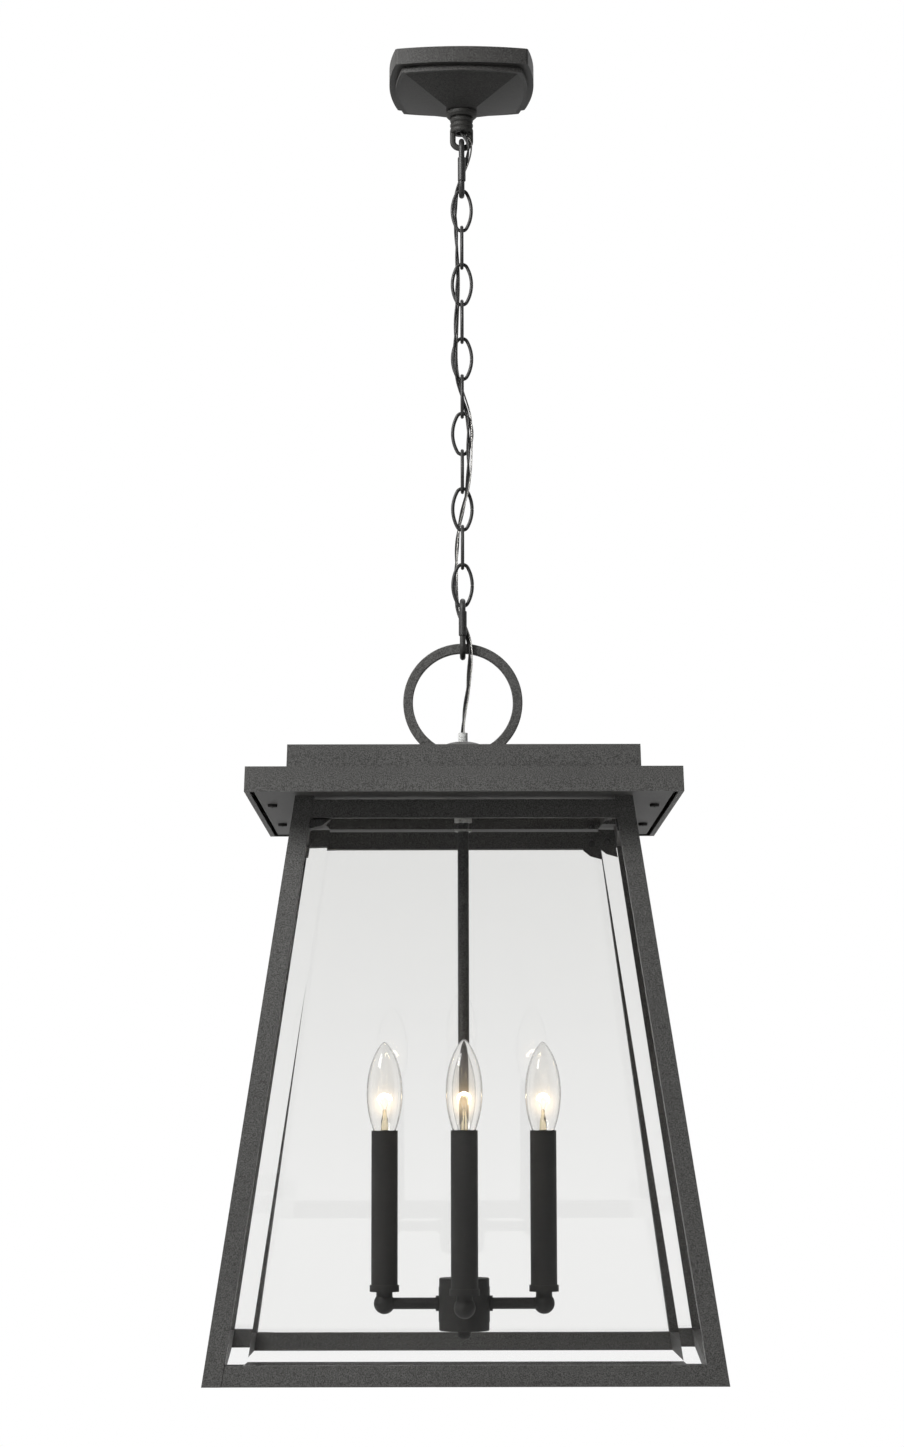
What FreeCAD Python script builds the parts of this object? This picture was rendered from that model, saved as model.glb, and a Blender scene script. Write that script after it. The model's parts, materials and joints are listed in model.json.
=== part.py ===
"""Hanging lantern: canopy, chain, ring, two-tier roof, glazed tapered cage and a four-candle cluster.

Millimetres, +Z up, front towards -Y. The origin is the middle of the canopy's ceiling face, so the whole
lantern hangs below z = 0.
"""
import FreeCAD, Part
import math
import os
import Sketcher

Vector = FreeCAD.Vector
document = FreeCAD.newDocument("HangingLantern")
sheet = document.addObject("Spreadsheet::Sheet", "Sizes")

driving_sizes = [
    # canopy and its fixings
    ("canopy_side", 115.0, "corner to corner along one side of the canopy"),
    ("canopy_bulge", 6.6, "how far each side bows out between its corners"),
    ("canopy_band", 14.2, "height of the main band"),
    ("canopy_corner", 3.0, "corner radius of the main band"),
    ("canopy_step", 5.5, "inset of the lower band"),
    ("canopy_groove", 2.0, "height of the shadow groove above the lower band"),
    ("groove_inset", 1.2, "how much further in the groove lies"),
    ("canopy_lower_band", 3.5, "height of the lower band"),
    ("canopy_shoulder", 3.0, "flat lip between the lower band and the pyramid"),
    ("canopy_pyramid", 17.0, "height of the pyramid underneath"),
    ("canopy_foot", 27.0, "side of the flat at the pyramid's tip"),
    ("canopy_wall", 1.5, "wall of the canopy"),
    ("strap_length", 108.0, "ceiling strap"),
    ("strap_width", 20.0, ""),
    ("strap_thickness", 2.5, ""),
    ("box_screw_spacing", 88.9, "centre to centre of the ceiling box's screws"),
    ("box_slot_width", 4.8, "slot for a ceiling box screw"),
    ("box_slot_length", 13.0, "end to end"),
    ("nipple_diameter", 10.0, "threaded tube through strap, loop and roof"),
    ("nipple_bore", 7.6, ""),
    ("nipple_start", 0.5, "how far the upper nipple stays below the ceiling face"),
    ("nipple_length", 31.5, "upper nipple"),
    ("nut_flats", 15.0, "across the flats of a nipple nut"),
    ("nut_height", 4.0, ""),
    ("thread_clearance", 0.06, "radial, around every threaded or sliding fit"),
    ("collar_diameter", 27.5, "screw collar under the canopy"),
    ("collar_height", 5.8, ""),
    ("barrel_diameter", 18.0, "threaded barrel of the canopy loop"),
    ("barrel_length", 20.5, "barrel above the collar's lower face"),
    ("neck_height", 14.0, "ribbed neck under the collar"),
    ("neck_radius", 9.2, "radius in the hollows between its ribs"),
    ("rib_radius", 3.2, "roundness of each rib"),
    ("loop_leg_offset", 7.75, "middle of a leg of the loop from the centre"),
    ("loop_bar", 5.1, "bar of the loop"),
    ("loop_bar_edge", 2.0, "rounding of the bar's edges"),
    ("loop_bend", 6.0, "bend radius at the loop's bottom corners"),
    ("loop_drop", 13.35, "neck's lower face to the middle of the loop's bottom bar"),
    # quick links and chain
    ("quick_wire", 5.0, "wire of a quick link"),
    ("quick_reach", 49.0, "between its end wires"),
    ("quick_spread", 17.5, "between its legs, centre to centre"),
    ("quick_gap", 5.8, "opening in its threaded leg"),
    ("quick_gap_offset", 11.2, "middle of the opening from the link's middle"),
    ("quick_sleeve_diameter", 7.0, "sleeve nut of a quick link"),
    ("quick_sleeve_length", 21.5, ""),
    ("quick_sleeve_offset", 3.6, "middle of the closed sleeve from the link's middle"),
    ("loop_clearance", 0.4, "between the loop's bar and the quick link's wire"),
    ("chain_wire", 3.0, "wire of a chain link"),
    ("chain_reach", 36.9, "between a chain link's end wires"),
    ("chain_width", 19.8, "outside width of a chain link"),
    ("chain_end_radius", 5.0, "bend at a chain link's ends, to the middle of the wire"),
    ("chain_seam", 0.5, "butt gap of a bent chain link"),
    ("chain_clearance", 0.2, "between two wires that hang in each other"),
    # ring, its base and the cable entry
    ("ring_inner_radius", 43.1, ""),
    ("ring_outer_radius", 51.5, ""),
    ("ring_depth", 6.0, "front to back"),
    ("ring_edge", 0.8, "rounding of the ring's edges"),
    ("ring_seat", 3.2, "ring's inner face above the quick link's lower wire centre"),
    ("ring_gap", 17.0, "opening between the ring's ends inside its base"),
    ("ring_to_roof", 55.25, "ring centre down to the roof's top"),
    ("ring_fit", 0.1, "between the ring's bar and the slot in its base"),
    ("base_radius", 24.0, "round base under the ring"),
    ("base_height", 20.8, ""),
    ("base_side", 13.0, "straight side of the base"),
    ("gland_diameter", 8.2, "cable bushing"),
    ("gland_height", 8.7, "above the nipple's end"),
    ("gland_bore", 6.4, ""),
    ("gland_spigot", 8.0, "length inside the nipple"),
    ("roof_nipple_length", 53.0, "lower nipple, from the ring's base into the roof"),
    ("roof_nipple_sink", 0.7, "end of the lower nipple below the top of the ring's base"),
    # roof
    ("cap_side", 287.0, "upper tier, at its top edge"),
    ("cap_height", 22.0, ""),
    ("brim_side", 351.0, "lower tier, at its top edge"),
    ("brim_height", 20.4, ""),
    ("roof_flare", 0.6, "how much further out each wall is at its lower edge"),
    ("roof_wall", 1.2, "sheet thickness"),
    ("rim_width", 4.2, "return flange under the brim"),
    ("plate_gap", 3.2, "shadow gap around the plate under the brim"),
    ("plate_recess", 1.0, "plate's lower face above the rim"),
    ("plate_screw_x", 159.3, "screw from the middle, sideways"),
    ("plate_screw_y", 75.0, "screw from the middle, front to back"),
    ("boss_diameter", 11.0, "standoff inside the brim at each screw"),
    ("screw_shank", 4.0, ""),
    ("screw_head", 8.0, ""),
    ("screw_head_height", 2.4, ""),
    ("screw_depth", 9.0, "shank inside its standoff"),
    # cage
    ("cage_height", 463.9, "brim's lower edge to the cage's lower edge"),
    ("cage_half_bottom", 203.2, "half width at the lower edge"),
    ("cage_half_top", 137.3, "half width at the brim's lower edge"),
    ("post_side", 15.0, "square tube of the posts and depth of the rails"),
    ("tube_wall", 1.2, ""),
    ("bottom_rail_height", 16.0, ""),
    ("top_rail_height", 15.0, ""),
    ("top_rail_gap", 2.0, "brim's lower edge to the top rail"),
    ("rail_recess", 0.6, "rails behind the posts' outer faces"),
    # glazing
    ("glass_thickness", 4.0, ""),
    ("glass_recess", 3.0, "glass behind the frame's outer face"),
    ("glass_gap", 0.3, "around each pane"),
    ("glass_top_lap", 7.4, "glass inside the top rail"),
    ("bevel_width", 17.0, ""),
    ("bevel_depth", 1.8, ""),
    ("clip_thickness", 1.5, "corner clip"),
    ("clip_width", 15.5, "along the rail"),
    ("clip_drop", 8.1, "below the rail"),
    ("clip_foot", 10.0, "up the rail"),
    ("clip_screw_inset", 8.0, "clip screw from the clip's outer edge"),
    ("clip_screw_lift", 5.8, "clip screw above the rail's lower edge"),
    ("clip_gap", 0.3, "between a clip and the glass"),
    ("clip_post_gap", 0.5, "between a clip and its post"),
    ("clip_screw", 3.0, ""),
    ("clip_screw_head", 6.0, ""),
    ("clip_screw_head_height", 1.8, ""),
    # candle cluster
    ("crossbar_width", 20.0, ""),
    ("crossbar_thickness", 3.0, ""),
    ("crossbar_lift", 7.0, "above the top rails' lower edge"),
    ("crossbar_flange", 7.0, "turned-up end"),
    ("rod_diameter", 9.5, ""),
    ("rod_bore", 7.0, ""),
    ("rod_nut_flats", 13.0, ""),
    ("rod_nut_height", 4.6, ""),
    ("rod_stub", 0.6, "rod above its upper nut"),
    ("hub_diameter", 43.0, ""),
    ("hub_drop", 390.8, "brim's lower edge to the hub's top"),
    ("hub_cap_height", 7.3, "upper and lower hub caps"),
    ("hub_height", 28.9, "hub between its caps"),
    ("hub_wall", 2.0, ""),
    ("hub_cap_inset", 0.4, "caps a little smaller than the hub"),
    ("finial_diameter", 11.5, ""),
    ("finial_height", 7.0, ""),
    ("arm_reach", 67.0, "candle axis from the middle"),
    ("arm_diameter", 9.6, ""),
    ("arm_bore", 6.4, ""),
    ("arm_drop", 21.0, "arm below the hub's top"),
    ("arm_start", 17.0, "inner end of an arm from the middle"),
    ("arm_collar_diameter", 12.9, ""),
    ("arm_collar_width", 2.4, ""),
    ("ball_diameter", 17.8, "ball at the end of an arm"),
    ("arm_seat", 3.0, "end of an arm short of the ball's centre"),
    ("cup_neck_diameter", 13.7, ""),
    ("cup_diameter", 24.8, ""),
    ("cup_height", 5.4, ""),
    ("cup_rise", 15.1, "cup's top above the ball's centre"),
    ("cup_recess", 3.0, ""),
    ("sleeve_diameter", 22.3, "candle sleeve"),
    ("sleeve_wall", 1.2, ""),
    ("sleeve_height", 131.4, "from the cup's recess"),
    ("socket_clearance", 0.95, "radial, between the socket and its candle sleeve"),
    ("socket_bore", 12.7, ""),
    ("socket_height", 32.0, ""),
    ("socket_depth", 24.0, ""),
    ("socket_sink", 10.2, "socket's mouth below the sleeve's top"),
    ("stem_diameter", 9.6, "threaded stem under the socket"),
    ("stem_bore", 6.0, ""),
    ("bulb_rise", 74.7, "bulb's tip above the sleeve"),
    ("bulb_widest", 31.5, "height of its widest place above the sleeve"),
    ("bulb_diameter", 31.0, ""),
    ("bulb_clearance", 0.35, "radial, where the bulb leaves the sleeve"),
    ("bulb_neck", 13.2, "diameter at its base"),
    ("bulb_glass", 0.8, "wall of the bulb's glass"),
    ("bulb_tip", 1.6, "radius left at the tip"),
    ("bulb_base_diameter", 12.0, ""),
    ("bulb_base_length", 22.0, ""),
    ("bulb_base_lift", 0.7, "neck of the bulb above the socket's mouth"),
    # lead
    ("cord_diameter", 3.6, "supply cord"),
    ("ground_diameter", 1.5, "earth wire beside it"),
    ("ground_offset", 3.25, "between their centres"),
]

for row, (alias, number, note) in enumerate(driving_sizes, start=1):
    sheet.set(f"A{row}", alias)
    sheet.set(f"B{row}", str(number))
    sheet.set(f"C{row}", note)
    sheet.setAlias(f"B{row}", alias)
document.recompute()


class Size:
    """A length as the formula that the document keeps, with its present value beside it."""

    def __init__(self, formula, value):
        self.formula = formula
        self.value = value

    def __add__(self, other):
        other = sized(other)
        return Size(f"({self.formula} + {other.formula})", self.value + other.value)

    def __sub__(self, other):
        other = sized(other)
        return Size(f"({self.formula} - {other.formula})", self.value - other.value)

    def __mul__(self, other):
        other = sized(other)
        return Size(f"({self.formula} * {other.formula})", self.value * other.value)

    def __truediv__(self, other):
        other = sized(other)
        return Size(f"({self.formula} / {other.formula})", self.value / other.value)

    def __neg__(self):
        return Size(f"(0 - {self.formula})", -self.value)

    def __radd__(self, other):
        return sized(other) + self

    def __rsub__(self, other):
        return sized(other) - self

    def __rmul__(self, other):
        return sized(other) * self


def sized(number):
    """A Size as it is, or a plain number as a Size."""
    if isinstance(number, Size):
        return number
    return Size(str(number), float(number))


def root(size):
    return Size(f"sqrt({size.formula})", math.sqrt(size.value))


class Sheet:
    """The driving sizes by name, each as a Size bound to its cell."""


size = Sheet()
for alias, number, note in driving_sizes:
    setattr(size, alias, Size(f"Sizes.{alias}", float(number)))


# ---------------------------------------------------------------- sketches and features

def bind(thing, name, value):
    """Sets a property from a Size or a number, kept as a formula."""
    thing.setExpression(name, sized(value).formula)


def new_body(label, x=0, y=0, z=0, turn=0):
    body = document.addObject("PartDesign::Body", label)
    body.Label = label
    body.Placement = FreeCAD.Placement(Vector(0, 0, 0), FreeCAD.Rotation(Vector(0, 0, 1), turn))
    for name, value in (("x", x), ("y", y), ("z", z)):
        bind(body, f"Placement.Base.{name}", value)
    return body


def origin_feature(body, role):
    return [feature for feature in body.Origin.OriginFeatures if feature.Role == role][0]


def new_sketch(body, plane, offset=0, shift_x=0, shift_y=0):
    """A sketch on one of the body's own planes, offset along the plane's normal."""
    sketch = body.newObject("Sketcher::SketchObject", body.Label + "_sketch")
    sketch.AttachmentSupport = [(origin_feature(body, plane), "")]
    sketch.MapMode = "FlatFace"
    bind(sketch, "AttachmentOffset.Base.x", shift_x)
    bind(sketch, "AttachmentOffset.Base.y", shift_y)
    bind(sketch, "AttachmentOffset.Base.z", offset)
    return sketch


def fix_distance(sketch, kind, geometry, vertex, value):
    """Holds a vertex at a distance from the sketch's origin along X or Y."""
    value = sized(value)
    number = sketch.addConstraint(Sketcher.Constraint(kind, -1, 1, geometry, vertex, value.value))
    sketch.setExpression(f"Constraints[{number}]", value.formula)


def arc_between(start, end, radius):
    """The arc from start to end, turning left for a positive radius, and whether it runs start to end."""
    chord = end - start
    middle = (start + end) * 0.5
    height = math.sqrt(max(radius * radius - chord.Length ** 2 / 4, 0))
    left = Vector(-chord.y, chord.x, 0).normalize()
    centre = middle + left * (height if radius > 0 else -height)
    first, second = (start, end) if radius > 0 else (end, start)
    first_angle = math.atan2(first.y - centre.y, first.x - centre.x)
    second_angle = math.atan2(second.y - centre.y, second.x - centre.x)
    circle = Part.Circle(centre, Vector(0, 0, 1), abs(radius))
    return Part.ArcOfCircle(circle, first_angle, second_angle), radius > 0


def outline(sketch, steps, closed=True):
    """Lines and arcs through the given points: (x, y) for a line to it, (x, y, radius) for an arc to it."""
    points = [Vector(sized(step[0]).value, sized(step[1]).value, 0) for step in steps]
    count = len(steps) if closed else len(steps) - 1
    first_number = sketch.GeometryCount
    ends = []
    for index in range(count):
        start, end = points[index], points[(index + 1) % len(steps)]
        target = steps[(index + 1) % len(steps)]
        if len(target) == 3:
            radius = sized(target[2])
            curve, forward = arc_between(start, end, radius.value)
            number = sketch.addGeometry(curve)
            held = Sketcher.Constraint("Radius", number, abs(radius.value))
            constraint = sketch.addConstraint(held)
            formula = radius.formula if radius.value > 0 else (-radius).formula
            sketch.setExpression(f"Constraints[{constraint}]", formula)
            ends.append((1, 2) if forward else (2, 1))
        else:
            number = sketch.addGeometry(Part.LineSegment(start, end))
            ends.append((1, 2))
    for index in range(count):
        geometry = first_number + index
        if closed or index < count - 1:
            following = (index + 1) % count
            joint = Sketcher.Constraint(
                "Coincident", geometry, ends[index][1], first_number + following, ends[following][0])
            sketch.addConstraint(joint)
        fix_distance(sketch, "DistanceX", geometry, ends[index][0], steps[index][0])
        fix_distance(sketch, "DistanceY", geometry, ends[index][0], steps[index][1])
    if not closed:
        last = first_number + count - 1
        fix_distance(sketch, "DistanceX", last, ends[-1][1], steps[-1][0])
        fix_distance(sketch, "DistanceY", last, ends[-1][1], steps[-1][1])


def disc(sketch, x, y, diameter):
    """A full circle."""
    x, y, diameter = sized(x), sized(y), sized(diameter)
    circle = Part.Circle(Vector(x.value, y.value, 0), Vector(0, 0, 1), diameter.value / 2)
    number = sketch.addGeometry(circle)
    constraint = sketch.addConstraint(Sketcher.Constraint("Diameter", number, diameter.value))
    sketch.setExpression(f"Constraints[{constraint}]", diameter.formula)
    fix_distance(sketch, "DistanceX", number, 3, x)
    fix_distance(sketch, "DistanceY", number, 3, y)


def rectangle(sketch, x_low, y_low, x_high, y_high):
    outline(sketch, [(x_low, y_low), (x_high, y_low), (x_high, y_high), (x_low, y_high)])


def hexagon(sketch, flats):
    corner = flats / root(sized(3))
    outline(sketch, [
        (corner, 0), (corner / 2, flats / 2), (-corner / 2, flats / 2),
        (-corner, 0), (-corner / 2, -flats / 2), (corner / 2, -flats / 2)])


def bulged_square(sketch, inset):
    """The canopy's plan, drawn in by an inset: four sides that bow out between sharp corners."""
    half = size.canopy_side / 2 - inset
    radius = (half * half + size.canopy_bulge * size.canopy_bulge) / (2 * size.canopy_bulge)
    outline(sketch, [
        (-half, -half, radius), (half, -half, radius), (half, half, radius), (-half, half, radius)])


def pad(body, sketch, length, reverse=False, both_ways=False):
    feature = body.newObject("PartDesign::Pad", "Pad")
    feature.Profile = sketch
    bind(feature, "Length", length)
    feature.Reversed = reverse
    feature.Midplane = both_ways
    body.Tip = feature
    return feature


def pocket(body, sketch, length, reverse=False, both_ways=False):
    """Cuts along the sketch's back, or its front if reversed, and checks that something was cut."""
    before = body_volume(body)
    feature = body.newObject("PartDesign::Pocket", "Pocket")
    feature.Profile = sketch
    bind(feature, "Length", length)
    feature.Reversed = reverse
    feature.Midplane = both_ways
    body.Tip = feature
    check_cut(body, before)
    return feature


def revolve(body, sketch, axis="V_Axis"):
    feature = body.newObject("PartDesign::Revolution", "Revolution")
    feature.Profile = sketch
    feature.ReferenceAxis = (sketch, [axis])
    feature.Angle = 360
    body.Tip = feature
    return feature


def groove(body, sketch, axis="V_Axis"):
    before = body_volume(body)
    feature = body.newObject("PartDesign::Groove", "Groove")
    feature.Profile = sketch
    feature.ReferenceAxis = (sketch, [axis])
    feature.Angle = 360
    body.Tip = feature
    check_cut(body, before)
    return feature


def loft(body, first, second, cut=False):
    """Straight-sided solid between two outlines."""
    before = body_volume(body) if cut else 0
    kind = "PartDesign::SubtractiveLoft" if cut else "PartDesign::AdditiveLoft"
    feature = body.newObject(kind, "Loft")
    feature.Profile = first
    feature.Sections = [second]
    feature.Ruled = True
    body.Tip = feature
    if cut:
        check_cut(body, before)
    return feature


def pipe(body, profile, spine):
    feature = body.newObject("PartDesign::AdditivePipe", "Pipe")
    feature.Profile = profile
    feature.Spine = (spine, [])
    body.Tip = feature
    return feature


def fillet(body, feature, radius, wanted):
    """Rounds the edges of a feature that a test picks."""
    document.recompute()
    edges = feature.Shape.Edges
    names = [f"Edge{number}" for number, edge in enumerate(edges, start=1) if wanted(edge)]
    rounded = body.newObject("PartDesign::Fillet", "Fillet")
    rounded.Base = (feature, names)
    bind(rounded, "Radius", radius)
    body.Tip = rounded
    return rounded


def around(body, features, count=4):
    """Repeats features around the body's Z axis."""
    pattern = body.newObject("PartDesign::PolarPattern", "Pattern")
    pattern.Originals = features
    pattern.Axis = (origin_feature(body, "Z_Axis"), [""])
    pattern.Angle = 360
    pattern.Occurrences = count
    body.Tip = pattern
    return pattern


def body_volume(body):
    document.recompute()
    return body.Shape.Volume if not body.Shape.isNull() else 0


def check_cut(body, before):
    after = body_volume(body)
    if after > before - 1e-6:
        raise RuntimeError(f"a cut in {body.Label} removed nothing: {before} to {after}")


def is_upright(edge):
    """True for a straight edge along Z."""
    if not isinstance(edge.Curve, Part.Line):
        return False
    return abs(edge.Curve.Direction.z) > 0.999


def tube(label, outer, inner, low, height, x=0, y=0):
    """An upright round tube, or a rod where inner is None."""
    body = new_body(label, x, y, low)
    sketch = new_sketch(body, "XY_Plane")
    disc(sketch, 0, 0, outer)
    if inner is not None:
        disc(sketch, 0, 0, inner)
    pad(body, sketch, height)
    return body


def hex_nut(label, flats, bore, low, height):
    body = new_body(label, 0, 0, low)
    sketch = new_sketch(body, "XY_Plane")
    hexagon(sketch, flats)
    disc(sketch, 0, 0, bore)
    pad(body, sketch, height)
    return body


def group(label, members):
    """Several like solids that share one name."""
    compound = document.addObject("Part::Compound", label)
    compound.Label = label
    compound.Links = members
    return compound


# ---------------------------------------------------------------- heights, from the ceiling down

canopy_upper = size.canopy_band + size.canopy_groove
canopy_flat = canopy_upper + size.canopy_lower_band
foot_z = -(canopy_flat + size.canopy_pyramid)
collar_z = foot_z - size.collar_height
neck_z = collar_z - size.neck_height
bar_z = neck_z - size.loop_drop
upper_quick_top = bar_z + size.loop_bar / 2 + size.loop_clearance + size.quick_wire / 2
upper_quick_bottom = upper_quick_top - size.quick_reach
mixed_wire_step = (size.quick_wire + size.chain_wire) / 2 + size.chain_clearance
chain_pitch = size.chain_reach - size.chain_wire - size.chain_clearance
first_link_z = upper_quick_bottom + mixed_wire_step - size.chain_reach / 2
link_count = 11
last_link_bottom = first_link_z - chain_pitch * (link_count - 1) - size.chain_reach / 2
lower_quick_top = last_link_bottom + mixed_wire_step
lower_quick_bottom = lower_quick_top - size.quick_reach
ring_z = lower_quick_bottom + size.ring_seat - size.ring_inner_radius
roof_z = ring_z - size.ring_to_roof
brim_z = roof_z - size.cap_height
brim_low = brim_z - size.brim_height
plate_low = brim_low + size.plate_recess
cage_low = brim_low - size.cage_height
top_rail_high = brim_low - size.top_rail_gap
top_rail_low = top_rail_high - size.top_rail_height
bottom_rail_high = cage_low + size.bottom_rail_height
slope = (size.cage_half_bottom - size.cage_half_top) / size.cage_height
incline = root(1 + slope * slope)


def half_width(z):
    """Half the cage's outside width at a height."""
    return size.cage_half_bottom - slope * (z - cage_low)


# ---------------------------------------------------------------- canopy

def make_canopy_shell():
    body = new_body("canopy_shell")
    sketch = new_sketch(body, "XY_Plane")
    bulged_square(sketch, 0)
    band = pad(body, sketch, size.canopy_band, reverse=True)
    fillet(body, band, size.canopy_corner, is_upright)
    throat = size.canopy_step + size.groove_inset
    sketch = new_sketch(body, "XY_Plane", -size.canopy_band)
    bulged_square(sketch, throat)
    pad(body, sketch, size.canopy_groove, reverse=True)
    sketch = new_sketch(body, "XY_Plane", -canopy_upper)
    bulged_square(sketch, size.canopy_step)
    pad(body, sketch, size.canopy_lower_band, reverse=True)
    wide = new_sketch(body, "XY_Plane", -canopy_flat)
    bulged_square(wide, size.canopy_step + size.canopy_shoulder)
    narrow = new_sketch(body, "XY_Plane", foot_z)
    half_foot = size.canopy_foot / 2
    rectangle(narrow, -half_foot, -half_foot, half_foot, half_foot)
    loft(body, wide, narrow)
    sketch = new_sketch(body, "XY_Plane")
    bulged_square(sketch, size.canopy_wall)
    pocket(body, sketch, size.canopy_band - size.canopy_wall)
    sketch = new_sketch(body, "XY_Plane", -(size.canopy_band - size.canopy_wall))
    bulged_square(sketch, throat + size.canopy_wall)
    pocket(body, sketch, size.canopy_groove + size.canopy_lower_band)
    floor = canopy_flat - size.canopy_wall
    wide = new_sketch(body, "XY_Plane", -floor)
    bulged_square(wide, size.canopy_step + size.canopy_shoulder + size.canopy_wall)
    narrow = new_sketch(body, "XY_Plane", foot_z + size.canopy_wall)
    half_inside = half_foot - size.canopy_wall
    rectangle(narrow, -half_inside, -half_inside, half_inside, half_inside)
    loft(body, wide, narrow, cut=True)
    sketch = new_sketch(body, "XY_Plane")
    disc(sketch, 0, 0, size.barrel_diameter + 4 * size.thread_clearance)
    pocket(body, sketch, -foot_z + 1)
    return body


def make_nipple_nuts():
    """One nut under the ceiling strap, one on the loop's barrel."""
    bore = size.nipple_diameter + 2 * size.thread_clearance
    under_strap = hex_nut("nut_under_strap", size.nut_flats, bore,
                          -(size.strap_thickness + size.nut_height), size.nut_height)
    on_barrel = hex_nut("nut_on_barrel", size.nut_flats, bore, collar_z + size.barrel_length,
                        size.nut_height)
    return group("nipple_nuts", [under_strap, on_barrel])


def make_mounting_strap():
    body = new_body("mounting_strap")
    sketch = new_sketch(body, "XY_Plane")
    half_length, half_width_ = size.strap_length / 2, size.strap_width / 2
    rectangle(sketch, -half_length, -half_width_, half_length, half_width_)
    pad(body, sketch, size.strap_thickness, reverse=True)
    sketch = new_sketch(body, "XY_Plane")
    disc(sketch, 0, 0, size.nipple_diameter + 2 * size.thread_clearance)
    radius = size.box_slot_width / 2
    straight = size.box_slot_length / 2 - radius
    for side in (-1, 1):
        middle = side * size.box_screw_spacing / 2
        outline(sketch, [
            (middle - straight, -radius, radius), (middle + straight, -radius),
            (middle + straight + radius, 0, radius), (middle + straight, radius, radius),
            (middle - straight, radius), (middle - straight - radius, 0, radius)])
    pocket(body, sketch, size.strap_thickness)
    return body


def make_collar_ring():
    body = new_body("collar_ring", 0, 0, collar_z)
    sketch = new_sketch(body, "XZ_Plane")
    inner = size.barrel_diameter / 2 + size.thread_clearance
    outer = size.collar_diameter / 2
    chamfer = size.collar_height / 6
    outline(sketch, [
        (inner, 0), (outer - 2 * chamfer, 0), (outer, chamfer * 2),
        (outer, size.collar_height - chamfer), (outer - chamfer, size.collar_height),
        (inner, size.collar_height)])
    revolve(body, sketch)
    return body


def make_canopy_loop():
    """Threaded barrel, ribbed neck and the U-shaped loop under it, with the lead's bore down the middle."""
    body = new_body("canopy_loop", 0, 0, neck_z)
    sketch = new_sketch(body, "XZ_Plane")
    bore = size.nipple_bore / 2
    socket = size.nipple_diameter / 2 + size.thread_clearance
    barrel = size.barrel_diameter / 2
    top = size.neck_height + size.barrel_length
    nipple_end = -(size.nipple_start + size.nipple_length) - neck_z
    rib = size.neck_height / 3
    mouth = bore * 1.3
    outline(sketch, [
        (mouth, 0), (size.neck_radius, 0),
        (size.neck_radius, rib, size.rib_radius), (size.neck_radius, rib * 2, size.rib_radius),
        (size.neck_radius, size.neck_height, size.rib_radius),
        (barrel, size.neck_height), (barrel, top), (socket, top),
        (socket, nipple_end), (bore, nipple_end), (bore, rib)])
    revolve(body, sketch)
    spine = new_sketch(body, "XZ_Plane")
    leg, bend, drop = size.loop_leg_offset, size.loop_bend, size.loop_drop
    start = rib / 2
    outline(spine, [
        (-leg, start), (-leg, bend - drop), (bend - leg, -drop, bend),
        (leg - bend, -drop), (leg, bend - drop, bend), (leg, start)], closed=False)
    profile = new_sketch(body, "XY_Plane", start)
    half, edge = size.loop_bar / 2, size.loop_bar_edge
    left, right = -leg - half, half - leg
    outline(profile, [
        (left + edge, -half, edge), (right - edge, -half), (right, edge - half, edge),
        (right, half - edge), (right - edge, half, edge), (left + edge, half),
        (left, half - edge, edge), (left, edge - half)])
    pipe(body, profile, spine)
    return body


# ---------------------------------------------------------------- quick links and chain

def quick_link(label, top, flip):
    """A stadium of round wire, open at one place of its front leg."""
    body = new_body(label, 0, 0, top - size.quick_reach / 2, 90)
    bend = size.quick_spread / 2
    corner = size.quick_reach / 2 - bend
    middle = size.quick_gap_offset if flip else -size.quick_gap_offset
    low_end, high_end = middle - size.quick_gap / 2, middle + size.quick_gap / 2
    spine = new_sketch(body, "XZ_Plane")
    outline(spine, [
        (-bend, high_end), (-bend, corner), (0, corner + bend, -bend), (bend, corner, -bend),
        (bend, -corner), (0, -corner - bend, -bend), (-bend, -corner, -bend), (-bend, low_end)],
        closed=False)
    profile = new_sketch(body, "XY_Plane", high_end)
    disc(profile, -bend, 0, size.quick_wire)
    pipe(body, profile, spine)
    return body


def quick_sleeve(label, top, flip):
    """Sleeve nut closed over the opening of a quick link, on its front leg."""
    sign = 1 if flip else -1
    middle = top - size.quick_reach / 2 + sign * size.quick_sleeve_offset
    bore = size.quick_wire + 2 * size.thread_clearance
    low = middle - size.quick_sleeve_length / 2
    body = new_body(label, 0, -size.quick_spread / 2, low)
    sketch = new_sketch(body, "XZ_Plane")
    outer, edge = size.quick_sleeve_diameter / 2, sized(0.4)
    length = size.quick_sleeve_length
    outline(sketch, [
        (bore / 2, 0), (outer - edge, 0), (outer, edge), (outer, length - edge),
        (outer - edge, length), (bore / 2, length)])
    revolve(body, sketch)
    return body


def chain_link(label, middle, turn):
    """An oval of round wire with bowed legs and a butt gap in the middle of one."""
    body = new_body(label, 0, 0, middle, turn)
    across, along = (size.chain_width - size.chain_wire) / 2, size.chain_reach / 2
    end = size.chain_end_radius
    bow = (across * across + along * along - 2 * along * end) / (2 * (across - end))
    join_x = end * (bow - across) / (bow - end)
    join_z = bow * (along - end) / (bow - end)
    seam = size.chain_seam / 2
    gap_x = across - bow + root(bow * bow - seam * seam)
    spine = new_sketch(body, "XZ_Plane")
    outline(spine, [
        (gap_x, seam), (join_x, join_z, bow), (-join_x, join_z, end), (-across, 0, bow),
        (-join_x, -join_z, bow), (join_x, -join_z, end), (gap_x, -seam, bow)], closed=False)
    profile = new_sketch(body, "XY_Plane", seam)
    disc(profile, gap_x, 0, size.chain_wire)
    pipe(body, profile, spine)
    return body


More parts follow.
